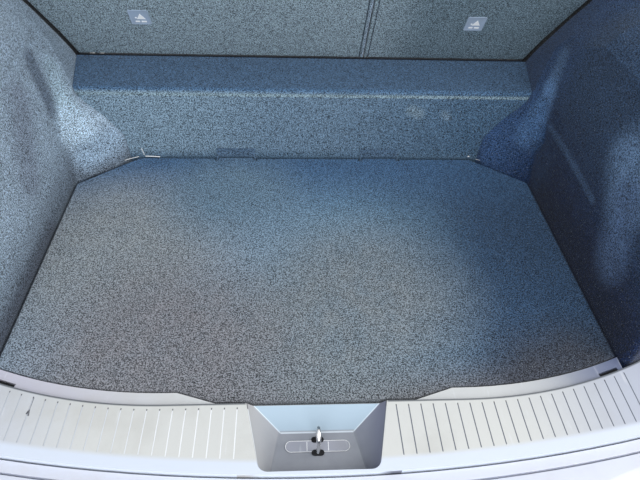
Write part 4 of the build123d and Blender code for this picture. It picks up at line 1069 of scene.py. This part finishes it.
# Headrest posts run from inside the pad to inside the headrest, through guide sleeves
post = {
    "radius": 0.005, "into": 0.022, "sleeve": 0.0115, "sleeveTop": (-0.007, -0.0058), "sleeveEdge": 0.0012,
    "apart": 0.06, "fineness": 5,
}
rods = tube("rods", [(0, 0, -post["into"]), (0, 0, post["into"])], post["radius"], post["fineness"])
rods = pairOf(rods, (post["apart"], 0, 0))
sleevePoints = [(0, 0, up) for up in (-post["into"], *post["sleeveTop"])]
sleeves = pairOf(tube("sleeves", sleevePoints, post["sleeve"], post["fineness"]), (post["apart"], 0, 0))
soften(sleeves, post["sleeveEdge"])
for side, body in (("left", "seat_back_wide"), ("centre", "seat_back_wide"), ("right", "seat_back_narrow")):
    low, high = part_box("posts_" + side)
    middle = (Vector(low) + Vector(high)) / 2
    place = Matrix.Translation(middle) @ Matrix.Rotation(seat["lean"], 4, "X")
    pair = settle(again(rods, "rods" + side.title()), body, "polishedSteel", place)
    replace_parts(pair, "posts_" + side)
    settle(again(sleeves, "sleeves" + side.title()), body, "blackPlastic", place)
discard(rods, sleeves)
print("posts ready")

# Floor and backdrop
studio = {
    "size": 14.0, "below": 0.001, "colour": (226, 227, 229), "worn": (214, 215, 218), "patchy": 0.3,
    "sky": (0.86, 0.92, 1.0), "light": 0.38, "seen": (0.93, 0.94, 0.95),
}
bpy.ops.object.select_all(action="DESELECT")
bpy.ops.mesh.primitive_plane_add(size=studio["size"], location=(0, 0, cadBox[0][2] - studio["below"]))
floor = bpy.context.object
floor.name = "studioFloor"
plain = Finish("studioFloor")
worn = plain.noise(3.0) * studio["patchy"]
plain.set("Base Color", plain.mix(worn, paint(*studio["colour"]), paint(*studio["worn"])))
plain.set("Roughness", 0.9)
floor.data.materials.append(plain.material)

# The sky lights the object, while the camera and shiny surfaces see a pale backdrop
world = bpy.data.worlds.new("studio")
bpy.context.scene.world = world
world.use_nodes = True
tree = world.node_tree
sky = tree.nodes["Background"]
sky.inputs["Color"].default_value = (*studio["sky"], 1)
sky.inputs["Strength"].default_value = studio["light"]
backdrop = tree.nodes.new("ShaderNodeBackground")
backdrop.inputs["Color"].default_value = (*studio["seen"], 1)
backdrop.inputs["Strength"].default_value = 1.0
path = tree.nodes.new("ShaderNodeLightPath")
blend = tree.nodes.new("ShaderNodeMixShader")
rays = path.outputs["Is Camera Ray"]
for name in ("Is Glossy Ray", "Is Transmission Ray"):
    either = tree.nodes.new("ShaderNodeMath")
    either.operation = "MAXIMUM"
    tree.links.new(rays, either.inputs[0])
    tree.links.new(path.outputs[name], either.inputs[1])
    rays = either.outputs[0]
tree.links.new(rays, blend.inputs[0])
tree.links.new(sky.outputs[0], blend.inputs[1])
tree.links.new(backdrop.outputs[0], blend.inputs[2])
tree.links.new(blend.outputs[0], tree.nodes["World Output"].inputs["Surface"])
print("studio ready")

print("scene ready")
